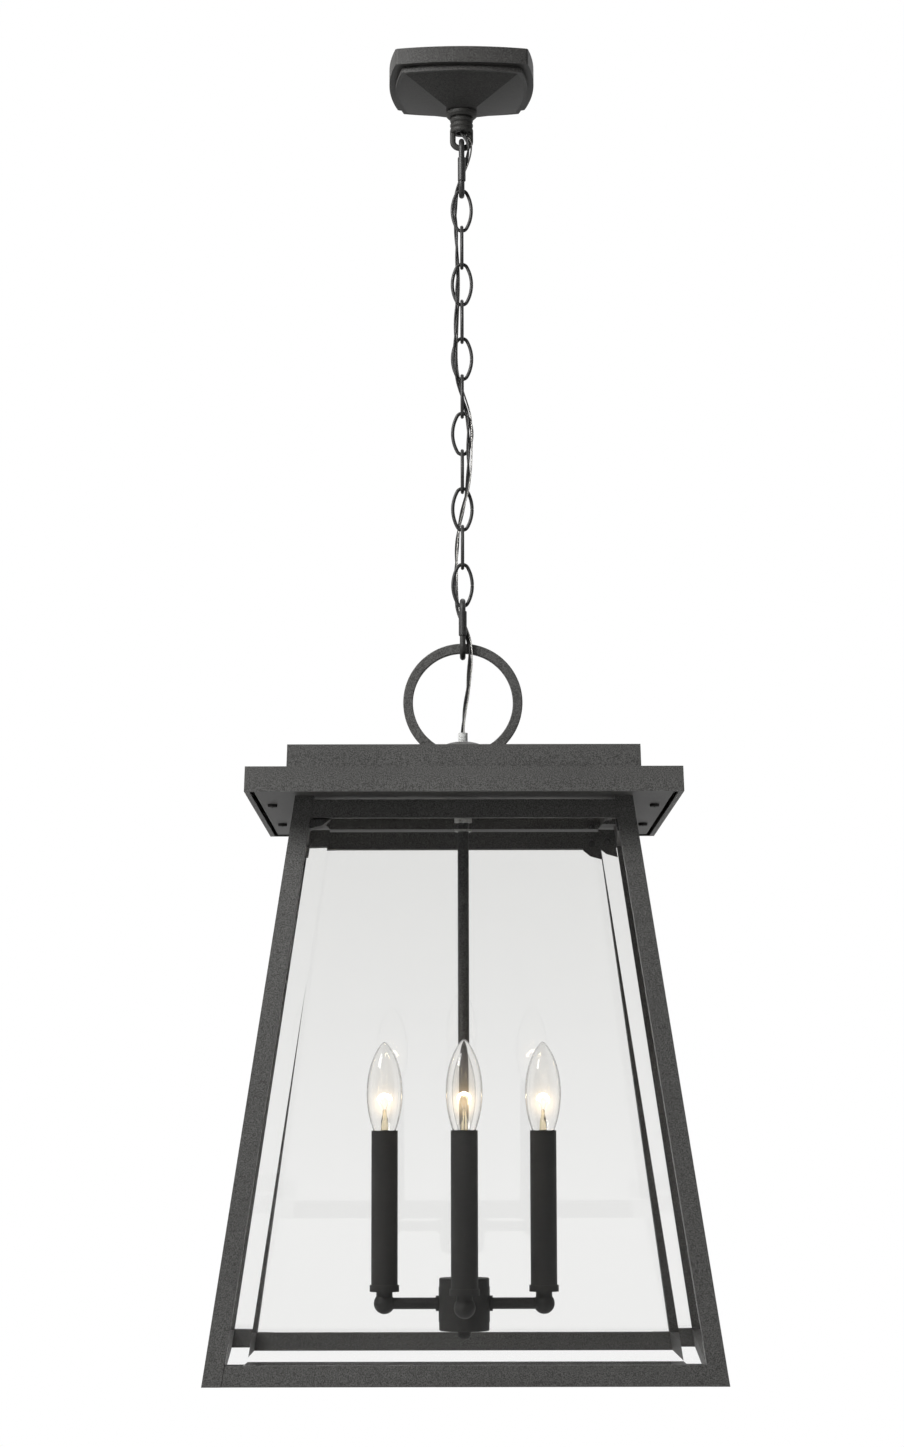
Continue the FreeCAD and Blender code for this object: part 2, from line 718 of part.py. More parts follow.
def make_chain():
    """Links hang in each other, turned a quarter from one to the next; odd ones face the front."""
    links = []
    for number in range(1, link_count + 1):
        turn = 0 if number % 2 else 90
        middle = first_link_z - chain_pitch * (number - 1)
        links.append(chain_link(f"chain_link_{number:02d}", middle, turn))
    return links


# ---------------------------------------------------------------- ring and its base

def ring_section(body, extra):
    """The ring's flat bar in section, with room added all round."""
    sketch = new_sketch(body, "XY_Plane")
    low, high = size.ring_inner_radius - extra, size.ring_outer_radius + extra
    half, edge = size.ring_depth / 2 + extra, size.ring_edge
    outline(sketch, [
        (low + edge, -half, edge), (high - edge, -half), (high, edge - half, edge),
        (high, half - edge), (high - edge, half, edge), (low + edge, half),
        (low, half - edge, edge), (low, edge - half)])
    return sketch


def make_hanging_ring():
    body = new_body("hanging_ring", 0, 0, ring_z)
    revolve(body, ring_section(body, sized(0)))
    gap = new_sketch(body, "XY_Plane")
    half = size.ring_gap / 2
    rectangle(gap, -half, -size.ring_depth, half, size.ring_depth)
    pocket(body, gap, size.ring_to_roof)
    return body


def make_ring_base():
    """Round base with a domed top; the ring's ends stand in two slots, the nipple in the bore."""
    body = new_body("ring_base", 0, 0, ring_z)
    sketch = new_sketch(body, "XZ_Plane")
    low = -size.ring_to_roof
    bore = size.nipple_diameter / 2 + size.thread_clearance
    dome = (size.base_radius - bore) * 1.55
    outline(sketch, [
        (bore, low), (size.base_radius, low), (size.base_radius, low + size.base_side),
        (bore, low + size.base_height, dome)])
    revolve(body, sketch)
    groove(body, ring_section(body, size.ring_fit))
    return body


def make_wire_gland():
    """Bushing on the nipple's upper end, where the lead goes in."""
    nipple_top = roof_z + size.base_height - size.roof_nipple_sink
    body = new_body("wire_gland", 0, 0, nipple_top)
    sketch = new_sketch(body, "XZ_Plane")
    bore, outer = size.gland_bore / 2, size.gland_diameter / 2
    spigot = size.nipple_bore / 2 - size.thread_clearance
    outline(sketch, [
        (bore, -size.gland_spigot), (spigot, -size.gland_spigot), (spigot, 0), (outer, 0),
        (outer, size.gland_height), (bore, size.gland_height)])
    revolve(body, sketch)
    return body


# ---------------------------------------------------------------- roof

def slab(body, high, low, half_high, half_low, cut=False):
    """A square solid between two heights, given by its half widths there."""
    first = new_sketch(body, "XY_Plane", high)
    rectangle(first, -half_high, -half_high, half_high, half_high)
    second = new_sketch(body, "XY_Plane", low)
    rectangle(second, -half_low, -half_low, half_low, half_low)
    return loft(body, first, second, cut)


def nipple_hole(body, high, depth):
    sketch = new_sketch(body, "XY_Plane", high)
    disc(sketch, 0, 0, size.nipple_diameter + 2 * size.thread_clearance)
    return pocket(body, sketch, depth)


def make_roof_cap():
    body = new_body("roof_cap", 0, 0, roof_z)
    top, bottom = size.cap_side / 2, size.cap_side / 2 + size.roof_flare
    wall = size.roof_wall
    slab(body, 0, -size.cap_height, top, bottom)
    slab(body, -wall, -size.cap_height, top - wall, bottom - wall, cut=True)
    nipple_hole(body, 0, wall)
    return body


def make_roof_brim():
    """Sheet tray with an inward rim below and four standoffs for the plate's screws."""
    body = new_body("roof_brim", 0, 0, brim_z)
    top, bottom = size.brim_side / 2, size.brim_side / 2 + size.roof_flare
    wall, height = size.roof_wall, size.brim_height
    slab(body, 0, -height, top, bottom)
    slab(body, -wall, wall - height, top - wall, bottom - wall, cut=True)
    rim = bottom - size.rim_width
    slab(body, wall - height, -height, rim, rim, cut=True)
    plate_top = size.plate_recess + wall - height
    spots = [(x, y) for x in (-1, 1) for y in (-1, 1)]
    sketch = new_sketch(body, "XY_Plane", plate_top)
    for x, y in spots:
        disc(sketch, x * size.plate_screw_x, y * size.plate_screw_y, size.boss_diameter)
    pad(body, sketch, -plate_top - wall)
    sketch = new_sketch(body, "XY_Plane", plate_top)
    for x, y in spots:
        hole = size.screw_shank + 2 * size.thread_clearance
        disc(sketch, x * size.plate_screw_x, y * size.plate_screw_y, hole)
    pocket(body, sketch, size.screw_depth, reverse=True)
    nipple_hole(body, 0, wall)
    return body


def make_roof_plate():
    body = new_body("roof_plate", 0, 0, plate_low)
    sketch = new_sketch(body, "XY_Plane")
    half = size.brim_side / 2 + size.roof_flare - size.rim_width - size.plate_gap
    rectangle(sketch, -half, -half, half, half)
    disc(sketch, 0, 0, size.rod_diameter * 1.5)
    for x in (-1, 1):
        for y in (-1, 1):
            hole = size.screw_shank + 2 * size.thread_clearance
            disc(sketch, x * size.plate_screw_x, y * size.plate_screw_y, hole)
    pad(body, sketch, size.roof_wall)
    return body


def make_roof_screws():
    """Pan-head screws up through the plate into the brim's standoffs, each with a cross recess."""
    screws = []
    for x in (-1, 1):
        for y in (-1, 1):
            body = new_body(f"roof_screw_{len(screws) + 1}", x * size.plate_screw_x,
                            y * size.plate_screw_y, plate_low)
            sketch = new_sketch(body, "XZ_Plane")
            shank, head = size.screw_shank / 2, size.screw_head / 2
            edge = size.screw_head_height / 3
            length = size.roof_wall + size.screw_depth - sized(0.5)
            outline(sketch, [
                (0, -size.screw_head_height), (head - edge, -size.screw_head_height),
                (head, edge - size.screw_head_height, edge), (head, 0), (shank, 0),
                (shank, length), (0, length)])
            revolve(body, sketch)
            slots = new_sketch(body, "XY_Plane", -size.screw_head_height)
            arm, thin = head * 0.6, head * 0.14
            outline(slots, [
                (-arm, -thin), (-thin, -thin), (-thin, -arm), (thin, -arm), (thin, -thin),
                (arm, -thin), (arm, thin), (thin, thin), (thin, arm), (-thin, arm),
                (-thin, thin), (-arm, thin)])
            pocket(body, slots, size.screw_head_height / 2, reverse=True)
            screws.append(body)
    return screws


# ---------------------------------------------------------------- cage

def level_box(body, low, high, sides_low, sides_high, cut=False):
    """A straight-sided solid between two levels, each given as (x low, y low, x high, y high)."""
    first = new_sketch(body, "XY_Plane", low)
    rectangle(first, *sides_low)
    second = new_sketch(body, "XY_Plane", high)
    rectangle(second, *sides_high)
    return loft(body, first, second, cut)


def make_post(label, x_side, y_side):
    """A leaning square tube, closed below."""
    body = new_body(label, 0, 0, cage_low)
    height = plate_low - cage_low
    wall = size.tube_wall

    def sides(rise, inset):
        outer = half_width(cage_low + rise) - inset
        inner = half_width(cage_low + rise) - size.post_side + inset
        x_low, x_high = (inner, outer) if x_side > 0 else (-outer, -inner)
        y_low, y_high = (inner, outer) if y_side > 0 else (-outer, -inner)
        return x_low, y_low, x_high, y_high

    level_box(body, 0, height, sides(sized(0), sized(0)), sides(height, sized(0)))
    level_box(body, wall, height, sides(wall, wall), sides(height, wall), cut=True)
    return body


def make_rails(label, low, height, slot_low, slot_high):
    """Four hollow rails between the posts, slotted along one wall for the glass."""
    body = new_body(label, 0, 0, low)
    wall = size.tube_wall

    def sides(rise, inset, reach):
        outer = half_width(low + rise)
        end = outer - size.post_side + reach
        return -end, size.rail_recess + inset - outer, end, size.post_side - inset - outer

    zero = sized(0)
    outside = level_box(body, 0, height, sides(zero, zero, zero), sides(height, zero, zero))
    inside_top = height - wall
    inside = level_box(body, wall, inside_top, sides(wall, wall, wall),
                       sides(inside_top, wall, wall), cut=True)
    near = size.glass_recess - size.rail_recess - size.glass_gap
    far = near + size.glass_thickness * incline + size.glass_gap * 2

    def slot_sides(rise):
        x_low, outer, x_high, inner = sides(rise, zero, zero)
        return x_low, outer + near, x_high, outer + far

    slot = level_box(body, slot_low, slot_high, slot_sides(slot_low), slot_sides(slot_high),
                     cut=True)
    around(body, [outside, inside, slot])
    return body


def on_side(body, x, up, turn):
    """Leans a body onto the outer face of one side's pane, a distance up its slope."""
    start = half_width(cage_low) - size.glass_recess
    rise = sized(up) / incline
    y = rise * slope - start
    z = cage_low + rise
    x = sized(x)
    body.setExpression(
        "Placement",
        f"placement(vector(0; 0; 0); rotation(vector(0; 0; 1); {turn}))"
        f" * placement(vector({x.formula}; {y.formula}; {z.formula});"
        f" rotation(vector(1; 0; 0); -atan({slope.formula})))")


glass_low_z = cage_low + size.tube_wall + size.glass_gap + size.glass_thickness * slope
glass_high_z = top_rail_low + size.glass_top_lap


def opening_half(z):
    """Half the clear width between two posts at a height."""
    return half_width(z) - size.post_side


def make_glass(label, turn):
    """A bevelled pane: its full outline below the bevel, a smaller outline at its outer face."""
    body = new_body(label)
    on_side(body, 0, 0, turn)
    low, high = (glass_low_z - cage_low) * incline, (glass_high_z - cage_low) * incline
    half_low = opening_half(glass_low_z) - size.glass_gap
    half_high = opening_half(glass_high_z) - size.glass_gap
    lean = (half_low - half_high) / (high - low)
    side_bevel = size.bevel_width * root(1 + lean * lean)

    def pane_outline(sketch, bevel, side):
        bottom, top = low + bevel, high - bevel
        half_bottom = half_low - lean * bevel - side
        half_top = half_high + lean * bevel - side
        outline(sketch, [
            (-half_bottom, bottom), (half_bottom, bottom), (half_top, top), (-half_top, top)])

    plain = new_sketch(body, "XZ_Plane", -size.bevel_depth)
    pane_outline(plain, sized(0), sized(0))
    pad(body, plain, size.glass_thickness - size.bevel_depth, reverse=True)
    edge = new_sketch(body, "XZ_Plane", -size.bevel_depth)
    pane_outline(edge, sized(0), sized(0))
    face = new_sketch(body, "XZ_Plane")
    pane_outline(face, size.bevel_width, side_bevel)
    loft(body, edge, face)
    return body


clip_seat = (size.post_side - size.glass_recess) / incline
clip_up = (top_rail_low - cage_low) * incline


clip_edge = opening_half(top_rail_low) - size.clip_post_gap


def make_glass_clips():
    """A clip in one upper corner of each pane: a plate on the rail, a block down to the glass."""
    clips = []
    edge, width = -clip_edge, size.clip_width
    drop, foot = size.clip_drop, size.clip_foot
    for index in range(4):
        body = new_body(f"glass_clip_{index + 1}")
        on_side(body, 0, clip_up, index * 90)
        elbow = (edge + width * 0.6, drop * -0.64)
        tip = (edge - slope * drop, -drop)
        inner = edge + width
        plate = new_sketch(body, "XZ_Plane", -clip_seat)
        outline(plate, [(inner, foot), (inner, 0), elbow, tip, (edge + slope * foot, foot)])
        pad(body, plate, size.clip_thickness, reverse=True)
        glass_face = size.glass_thickness + size.clip_gap
        block = new_sketch(body, "XZ_Plane", -glass_face)
        top = -size.clip_gap
        outline(block, [(inner, top), elbow, tip, (edge, top)])
        pad(body, block, clip_seat - glass_face, reverse=True)
        hole = new_sketch(body, "XZ_Plane", -clip_seat - size.clip_thickness)
        disc(hole, edge + size.clip_screw_inset, size.clip_screw_lift,
             size.clip_screw + 2 * size.thread_clearance)
        pocket(body, hole, size.clip_thickness, reverse=True)
        clips.append(body)
    return group("glass_clips", clips)


def make_clip_screws():
    """Screws through the clips' plates against the rails."""
    screws = []
    for index in range(4):
        body = new_body(f"clip_screw_{index + 1}")
        on_side(body, size.clip_screw_inset - clip_edge, clip_up + size.clip_screw_lift, index * 90)
        sketch = new_sketch(body, "XY_Plane")
        head, shank = size.clip_screw_head / 2, size.clip_screw / 2
        seat = clip_seat + size.clip_thickness
        top = seat + size.clip_screw_head_height
        outline(sketch, [
            (0, clip_seat), (shank, clip_seat), (shank, seat), (head, seat),
            (head, top - size.clip_screw_head_height / 2),
            (head / 2, top, head), (0, top)])
        revolve(body, sketch)
        screws.append(body)
    return screws


def make_frame_screws():
    return group("frame_screws", make_roof_screws() + make_clip_screws())


# ---------------------------------------------------------------- candle cluster

def make_crossbar():
    """Flat strap from rail to rail with its ends turned up against them."""
    body = new_body("crossbar", 0, 0, crossbar_low)
    sketch = new_sketch(body, "XZ_Plane")
    thick, rise = size.crossbar_thickness, size.crossbar_flange
    low_end = opening_half(crossbar_low)
    high_end = opening_half(crossbar_low + rise)
    corner = opening_half(crossbar_low + thick) - thick
    outline(sketch, [
        (-low_end, 0), (low_end, 0), (high_end, rise), (high_end - thick, rise), (corner, thick),
        (-corner, thick), (thick - high_end, rise), (-high_end, rise)])
    pad(body, sketch, size.crossbar_width, both_ways=True)
    hole = new_sketch(body, "XY_Plane", thick)
    disc(hole, 0, 0, size.rod_diameter + 2 * size.thread_clearance)
    pocket(body, hole, thick)
    return body


def make_lock_nuts():
    """Nuts above and below the crossbar, and the one that holds the roof to its nipple."""
    bore = size.rod_diameter + 2 * size.thread_clearance
    upper = hex_nut("rod_nut_upper", size.rod_nut_flats, bore, crossbar_low + size.crossbar_thickness,
                    size.rod_nut_height)
    lower = hex_nut("rod_nut_lower", size.rod_nut_flats, bore, crossbar_low - size.rod_nut_height,
                    size.rod_nut_height)
    roof = hex_nut("roof_nut", size.nut_flats, size.nipple_diameter + 2 * size.thread_clearance,
                   brim_z - size.roof_wall - size.nut_height, size.nut_height)
    return group("lock_nuts", [upper, lower, roof])


def make_hub_cap(label, seat, up):
    """Hollow cap, open towards the hub; up is 1 for the upper cap and -1 for the lower."""
    body = new_body(label, 0, 0, seat)
    sketch = new_sketch(body, "XZ_Plane")
    outer = size.hub_diameter / 2 - size.hub_cap_inset
    hole = size.rod_diameter / 2 + size.thread_clearance
    wall, height, edge = size.hub_wall, size.hub_cap_height, size.hub_wall / 3
    outline(sketch, [
        (hole, up * (height - wall)), (hole, up * height), (outer - edge, up * height),
        (outer, up * (height - edge)), (outer, 0), (outer - wall, 0),
        (outer - wall, up * (height - wall))])
    revolve(body, sketch)
    return body


def make_hub_caps():
    upper = make_hub_cap("hub_cap_upper", hub_top - size.hub_cap_height, 1)
    lower = make_hub_cap("hub_cap_lower", hub_body_low, -1)
    return group("hub_caps", [upper, lower])


def make_hub_body():
    body = new_body("hub_body", 0, 0, hub_body_low)
    sketch = new_sketch(body, "XY_Plane")
    disc(sketch, 0, 0, size.hub_diameter)
    disc(sketch, 0, 0, size.hub_diameter - 2 * size.hub_wall)
    pad(body, sketch, size.hub_height)
    for plane in ("XZ_Plane", "YZ_Plane"):
        holes = new_sketch(body, plane)
        disc(holes, 0, arm_z - hub_body_low, size.arm_diameter + 2 * size.thread_clearance)
        pocket(body, holes, size.hub_diameter * 2, both_ways=True)
    return body


def make_hub_finial():
    """Round nut under the hub, on the end of the rod."""
    body = new_body("hub_finial", 0, 0, hub_low)
    sketch = new_sketch(body, "XZ_Plane")
    outer, height = size.finial_diameter / 2, size.finial_height
    bore = size.rod_diameter / 2 + size.thread_clearance
    depth = height - size.hub_wall * 0.6
    outline(sketch, [
        (0, -height), (outer * 0.55, -height), (outer, -height * 0.6, outer * 0.75), (outer, 0),
        (bore, 0), (bore, -depth), (0, -depth)])
    revolve(body, sketch)
    return body


def make_candle_arms():
    body = new_body("candle_arms", 0, 0, arm_z)
    sketch = new_sketch(body, "XZ_Plane")
    bore, outer, collar = size.arm_bore / 2, size.arm_diameter / 2, size.arm_collar_diameter / 2
    hub, end = size.hub_diameter / 2, size.arm_reach - size.arm_seat
    outline(sketch, [
        (size.arm_start, bore), (end, bore), (end, outer), (hub + size.arm_collar_width, outer),
        (hub + size.arm_collar_width, collar), (hub, collar), (hub, outer), (size.arm_start, outer)])
    around(body, [revolve(body, sketch, "H_Axis")])
    return body


def make_candle_cups():
    """Ball, neck and cup in one casting at the end of each arm."""
    body = new_body("candle_cups", 0, 0, arm_z)
    sketch = new_sketch(body, "XZ_Plane", shift_x=size.arm_reach)
    ball, neck, cup = size.ball_diameter / 2, size.cup_neck_diameter / 2, size.cup_diameter / 2
    shoulder = root(ball * ball - neck * neck)
    cup_low = size.cup_rise - size.cup_height
    recess = size.sleeve_diameter / 2 + size.thread_clearance
    floor = size.cup_rise - size.cup_recess
    wire = size.arm_bore / 2
    outline(sketch, [
        (0, -ball), (ball, 0, ball), (neck, shoulder, ball), (neck, cup_low), (cup, cup_low),
        (cup, size.cup_rise), (recess, size.cup_rise), (recess, floor), (wire, floor), (wire, 0),
        (0, 0)])
    casting = revolve(body, sketch)
    bore = new_sketch(body, "YZ_Plane", size.arm_reach - size.ball_diameter)
    disc(bore, 0, 0, size.arm_diameter + 2 * size.thread_clearance)
    depth = size.ball_diameter - size.arm_seat + size.thread_clearance
    around(body, [casting, pocket(body, bore, depth, reverse=True)])
    return body


def make_candle_sleeves():
    body = new_body("candle_sleeves", 0, 0, sleeve_low)
    sketch = new_sketch(body, "XY_Plane")
    disc(sketch, size.arm_reach, 0, size.sleeve_diameter)
    disc(sketch, size.arm_reach, 0, size.sleeve_diameter - 2 * size.sleeve_wall)
    around(body, [pad(body, sketch, size.sleeve_height)])
    return body


def make_lamp_sockets():
    """Socket on a hollow threaded stem inside each candle sleeve."""
    body = new_body("lamp_sockets", 0, 0, sleeve_low)
    sketch = new_sketch(body, "XZ_Plane", shift_x=size.arm_reach)
    stem, hollow = size.stem_diameter / 2, size.stem_bore / 2
    inside = size.sleeve_diameter / 2 - size.sleeve_wall
    outer, bore = inside - size.socket_clearance, size.socket_bore / 2
    mouth = size.sleeve_height - size.socket_sink
    outline(sketch, [
        (hollow, 0), (stem, 0), (stem, mouth - size.socket_height), (outer, mouth - size.socket_height),
        (outer, mouth), (bore, mouth), (bore, mouth - size.socket_depth),
        (hollow, mouth - size.socket_depth)])
    around(body, [revolve(body, sketch)])
    return body


def rounding(across, along):
    """Radius of an arc that spans a width and a height and ends upright."""
    return (across * across + along * along) / (2 * across)


def make_bulb(place, x, y):
    """Hollow glass envelope and the screw base under it."""
    body = new_body(f"bulb_{place}_glass", x, y, sleeve_high)
    sketch = new_sketch(body, "XZ_Plane")
    glass, tip, rise, wide = size.bulb_glass, size.bulb_tip, size.bulb_rise, size.bulb_widest
    inside = size.sleeve_diameter / 2 - size.sleeve_wall
    neck, waist, widest = size.bulb_neck / 2, inside - size.bulb_clearance, size.bulb_diameter / 2
    low = size.bulb_base_lift - size.socket_sink
    tip_low = rise - tip / 2
    inner_tip = rise - 1.5 * glass
    inner_widest, inner_waist = widest - glass, waist - glass
    outline(sketch, [
        (neck, low), (waist, 0), (widest, wide, rounding(widest - waist, wide)),
        (tip, tip_low, rounding(widest - tip, tip_low - wide)), (tip / 2, rise, tip), (0, rise),
        (0, inner_tip), (tip / 2, inner_tip),
        (inner_widest, wide, -rounding(inner_widest - tip / 2, inner_tip - wide)),
        (inner_waist, 0, -rounding(inner_widest - inner_waist, wide)), (neck - glass, low)])
    revolve(body, sketch)

    base = new_body(f"bulb_{place}_base", x, y, sleeve_high)
    sketch = new_sketch(base, "XZ_Plane")
    outer = size.bulb_base_diameter / 2
    bottom = low - size.bulb_base_length
    contact = outer * 0.4
    outline(sketch, [
        (0, bottom - contact), (contact, bottom - contact), (contact, bottom), (outer * 0.85, bottom),
        (outer, bottom + contact / 2), (outer, low), (0, low)])
    revolve(base, sketch)
    return [body, base]


# ---------------------------------------------------------------- lead

def tangent_path(points):
    """Straight runs joined by arcs, each as large as its two runs allow, with the arcs' radii."""
    spots = [Vector(*point) for point in points]
    edges, radii = [], []
    here = spots[0]
    for before, corner, after in zip(spots, spots[1:], spots[2:]):
        incoming, outgoing = corner - before, after - corner
        half_turn = incoming.getAngle(outgoing) / 2
        reach = 0.45 * min(incoming.Length, outgoing.Length)
        radii.append(reach / math.tan(half_turn))
        start = corner - Vector(incoming).normalize() * reach
        end = corner + Vector(outgoing).normalize() * reach
        bisector = (Vector(outgoing).normalize() - Vector(incoming).normalize()).normalize()
        sagitta = radii[-1] * (1 / math.cos(half_turn) - 1)
        edges.append(Part.LineSegment(here, start).toShape())
        edges.append(Part.Arc(start, corner + bisector * sagitta, end).toShape())
        here = end
    edges.append(Part.LineSegment(here, spots[-1]).toShape())
    return Part.Wire(edges), radii


def make_lead(label, points, diameter):
    """A round tube along a route; its volume is compared with its section times its length."""
    path, radii = tangent_path(points)
    start, direction = Vector(*points[0]), Vector(*points[1]) - Vector(*points[0])
    section = Part.Wire([Part.Circle(start, direction, diameter / 2).toShape()])
    tube_shape = path.makePipeShell([section], True, True)
    expected = math.pi * diameter ** 2 / 4 * path.Length
    print(f"{label}: length {path.Length:.1f}, volume over section times length "
          f"{tube_shape.Volume / expected:.4f}, radii {min(radii):.1f} to {max(radii):.1f}: "
          + " ".join(f"{radius:.0f}" for radius in radii))
    lead = document.addObject("Part::Feature", label)
    lead.Label = label
    lead.Shape = tube_shape
    return lead


def above(level, spots):
    """Waypoints given by their place beside the axis and their height above a level."""
    return [(x, y, level.value + rise) for x, y, rise in spots]


def down_chain(spots):
    """Waypoints at each link's middle and at each crossing between two links."""
    step = chain_pitch.value / 2
    return [(x, y, first_link_z.value - step * index) for index, (x, y) in enumerate(spots)]


def beside(route, turns, distance):
    """A second route at a fixed distance from the first, at an angle about Z for each waypoint."""
    return [(x + distance * math.cos(math.radians(turn)), y + distance * math.sin(math.radians(turn)), z)
            for (x, y, z), turn in zip(route, turns)]


def make_leads():
    """Supply cord and earth wire: down the loop's neck, woven through the chain, into the bushing."""
    supply = above(neck_z, [
        (-1.2, 0.6, 52.5), (-1.3, 0.8, 36.5), (-1.4, 0.7, 20.5), (-1.3, -0.2, 6.5), (1.0, -3.4, -2.5),
        (5.6, -6.9, -8.9), (6.2, -6.3, -18.5), (3.2, -3.2, -30.5), (-1.7, 0.9, -41.5),
        (-5.2, 4.2, -55.5)])
    supply += down_chain([
        (-5.6, 6.1), (-5.1, 6.9), (-4.5, 6.7), (-3.9, 4.6), (-3.9, -0.3), (-4.7, -5.7), (-5.4, -7.8),
        (-6.1, -7.7), (-6.4, -6.7), (-5.2, -5.4), (-0.2, -3.7), (4.5, -3.6), (5.3, -4.7), (5.2, -6.0),
        (5.2, -6.5), (4.2, -4.4), (0.2, 0.9), (-3.6, 6.3), (-5.1, 8.7), (-5.6, 8.9), (-5.9, 8.1)])
    supply += above(lower_quick_bottom, [
        (-5.3, 6.3, 47.0), (-1.8, 2.4, 34.0), (2.8, -2.4, 22.0), (5.6, -5.7, 10.0), (6.0, -5.8, -3.0)])
    supply += above(roof_z, [
        (5.0, -3.8, 77.1), (3.3, -1.0, 61.1), (1.0, 0.9, 45.1), (-0.4, 1.0, 31.1), (-0.4, 1.0, 13.1)])
    turns = [
        20, 20, 20, 20, 20, 25, 40, 55, 70, 80, 85, 80, 75, 65, 60, 55, 55, 55, 60, 55, 40, 20, 0, -20,
        -40, -60, -80, -85, -85, -75, -70, -65, -60, -55, -50, -50, -55, -60, -70, -75, -70]
    ground = beside(supply, turns, size.ground_offset.value)
    return [
        make_lead("supply_cord", supply, size.cord_diameter.value),
        make_lead("ground_wire", ground, size.ground_diameter.value)]


# ---------------------------------------------------------------- the whole lantern

hub_top = brim_low - size.hub_drop
hub_body_low = hub_top - size.hub_cap_height - size.hub_height
hub_low = hub_body_low - size.hub_cap_height
arm_z = hub_top - size.arm_drop
sleeve_low = arm_z + size.cup_rise - size.cup_recess
sleeve_high = sleeve_low + size.sleeve_height
crossbar_low = top_rail_low + size.crossbar_lift


def make_lantern():
    nodes = [
        make_canopy_shell(),
        make_mounting_strap(),
        tube("threaded_nipple", size.nipple_diameter, size.nipple_bore,
             -(size.nipple_start + size.nipple_length), size.nipple_length),
        make_nipple_nuts(),
        make_collar_ring(),
        make_canopy_loop(),
        quick_link("upper_quick_link", upper_quick_top, False),
        quick_sleeve("upper_link_sleeve", upper_quick_top, False),
    ]
    nodes += make_chain()
    nipple_top = roof_z + size.base_height - size.roof_nipple_sink
    nodes += [
        quick_link("lower_quick_link", lower_quick_top, True),
        quick_sleeve("lower_link_sleeve", lower_quick_top, True),
        make_hanging_ring(),
        make_ring_base(),
        make_wire_gland(),
        tube("roof_nipple", size.nipple_diameter, size.nipple_bore,
             nipple_top - size.roof_nipple_length, size.roof_nipple_length),
        make_roof_cap(),
        make_roof_brim(),
        make_roof_plate(),
    ]
    for place, x_side, y_side in (("front_left", -1, -1), ("front_right", 1, -1),
                                  ("rear_left", -1, 1), ("rear_right", 1, 1)):
        nodes.append(make_post(f"{place}_post", x_side, y_side))
    nodes += [
        make_rails("top_rails", top_rail_low, size.top_rail_height, 0, size.tube_wall * 2),
        make_rails("bottom_rails", cage_low, size.bottom_rail_height,
                   size.bottom_rail_height - size.tube_wall * 2, size.bottom_rail_height),
        make_glass("front_glass", 0),
        make_glass("right_glass", 90),
        make_glass("rear_glass", 180),
        make_glass("left_glass", 270),
        make_glass_clips(),
        make_frame_screws(),
        make_crossbar(),
        make_lock_nuts(),
        tube("centre_rod", size.rod_diameter, size.rod_bore, rod_low, rod_high - rod_low),
        make_hub_caps(),
        make_hub_body(),
        make_hub_finial(),
        make_candle_arms(),
        make_candle_cups(),
        make_candle_sleeves(),
        make_lamp_sockets(),
    ]
    for place, x, y in (("front", 0, -1), ("right", 1, 0), ("rear", 0, 1), ("left", -1, 0)):
        nodes += make_bulb(place, x * size.arm_reach, y * size.arm_reach)
    return nodes + make_leads()


def check_document():
    """Every object recomputed without a fault."""
    for item in document.Objects:
        faults = [state for state in item.State if state in ("Invalid", "Error")]
        if faults:
            raise RuntimeError(f"{item.Label} ({item.Name}): {faults}")


def export(nodes):
    os.makedirs("parts", exist_ok=True)
    for node in nodes:
        shape = node.Shape
        if shape.isNull() or not shape.isValid() or not shape.Solids:
            raise RuntimeError(f"{node.Label} has no valid solid")
    for node in nodes:
        node.Shape.exportStep(os.path.join("parts", f"{node.Label}.step"))
        print(f"{node.Label}: {len(node.Shape.Solids)} solids, {node.Shape.Volume:.1f} mm3")
    print(len(nodes), "nodes")


rod_low = hub_low - (size.finial_height - size.hub_wall * 0.6) + 0.3
rod_high = crossbar_low + size.crossbar_thickness + size.rod_nut_height + size.rod_stub
lantern_nodes = make_lantern()
document.recompute()
check_document()
export(lantern_nodes)
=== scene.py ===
import bpy
import json
import math
from mathutils import Matrix, Vector

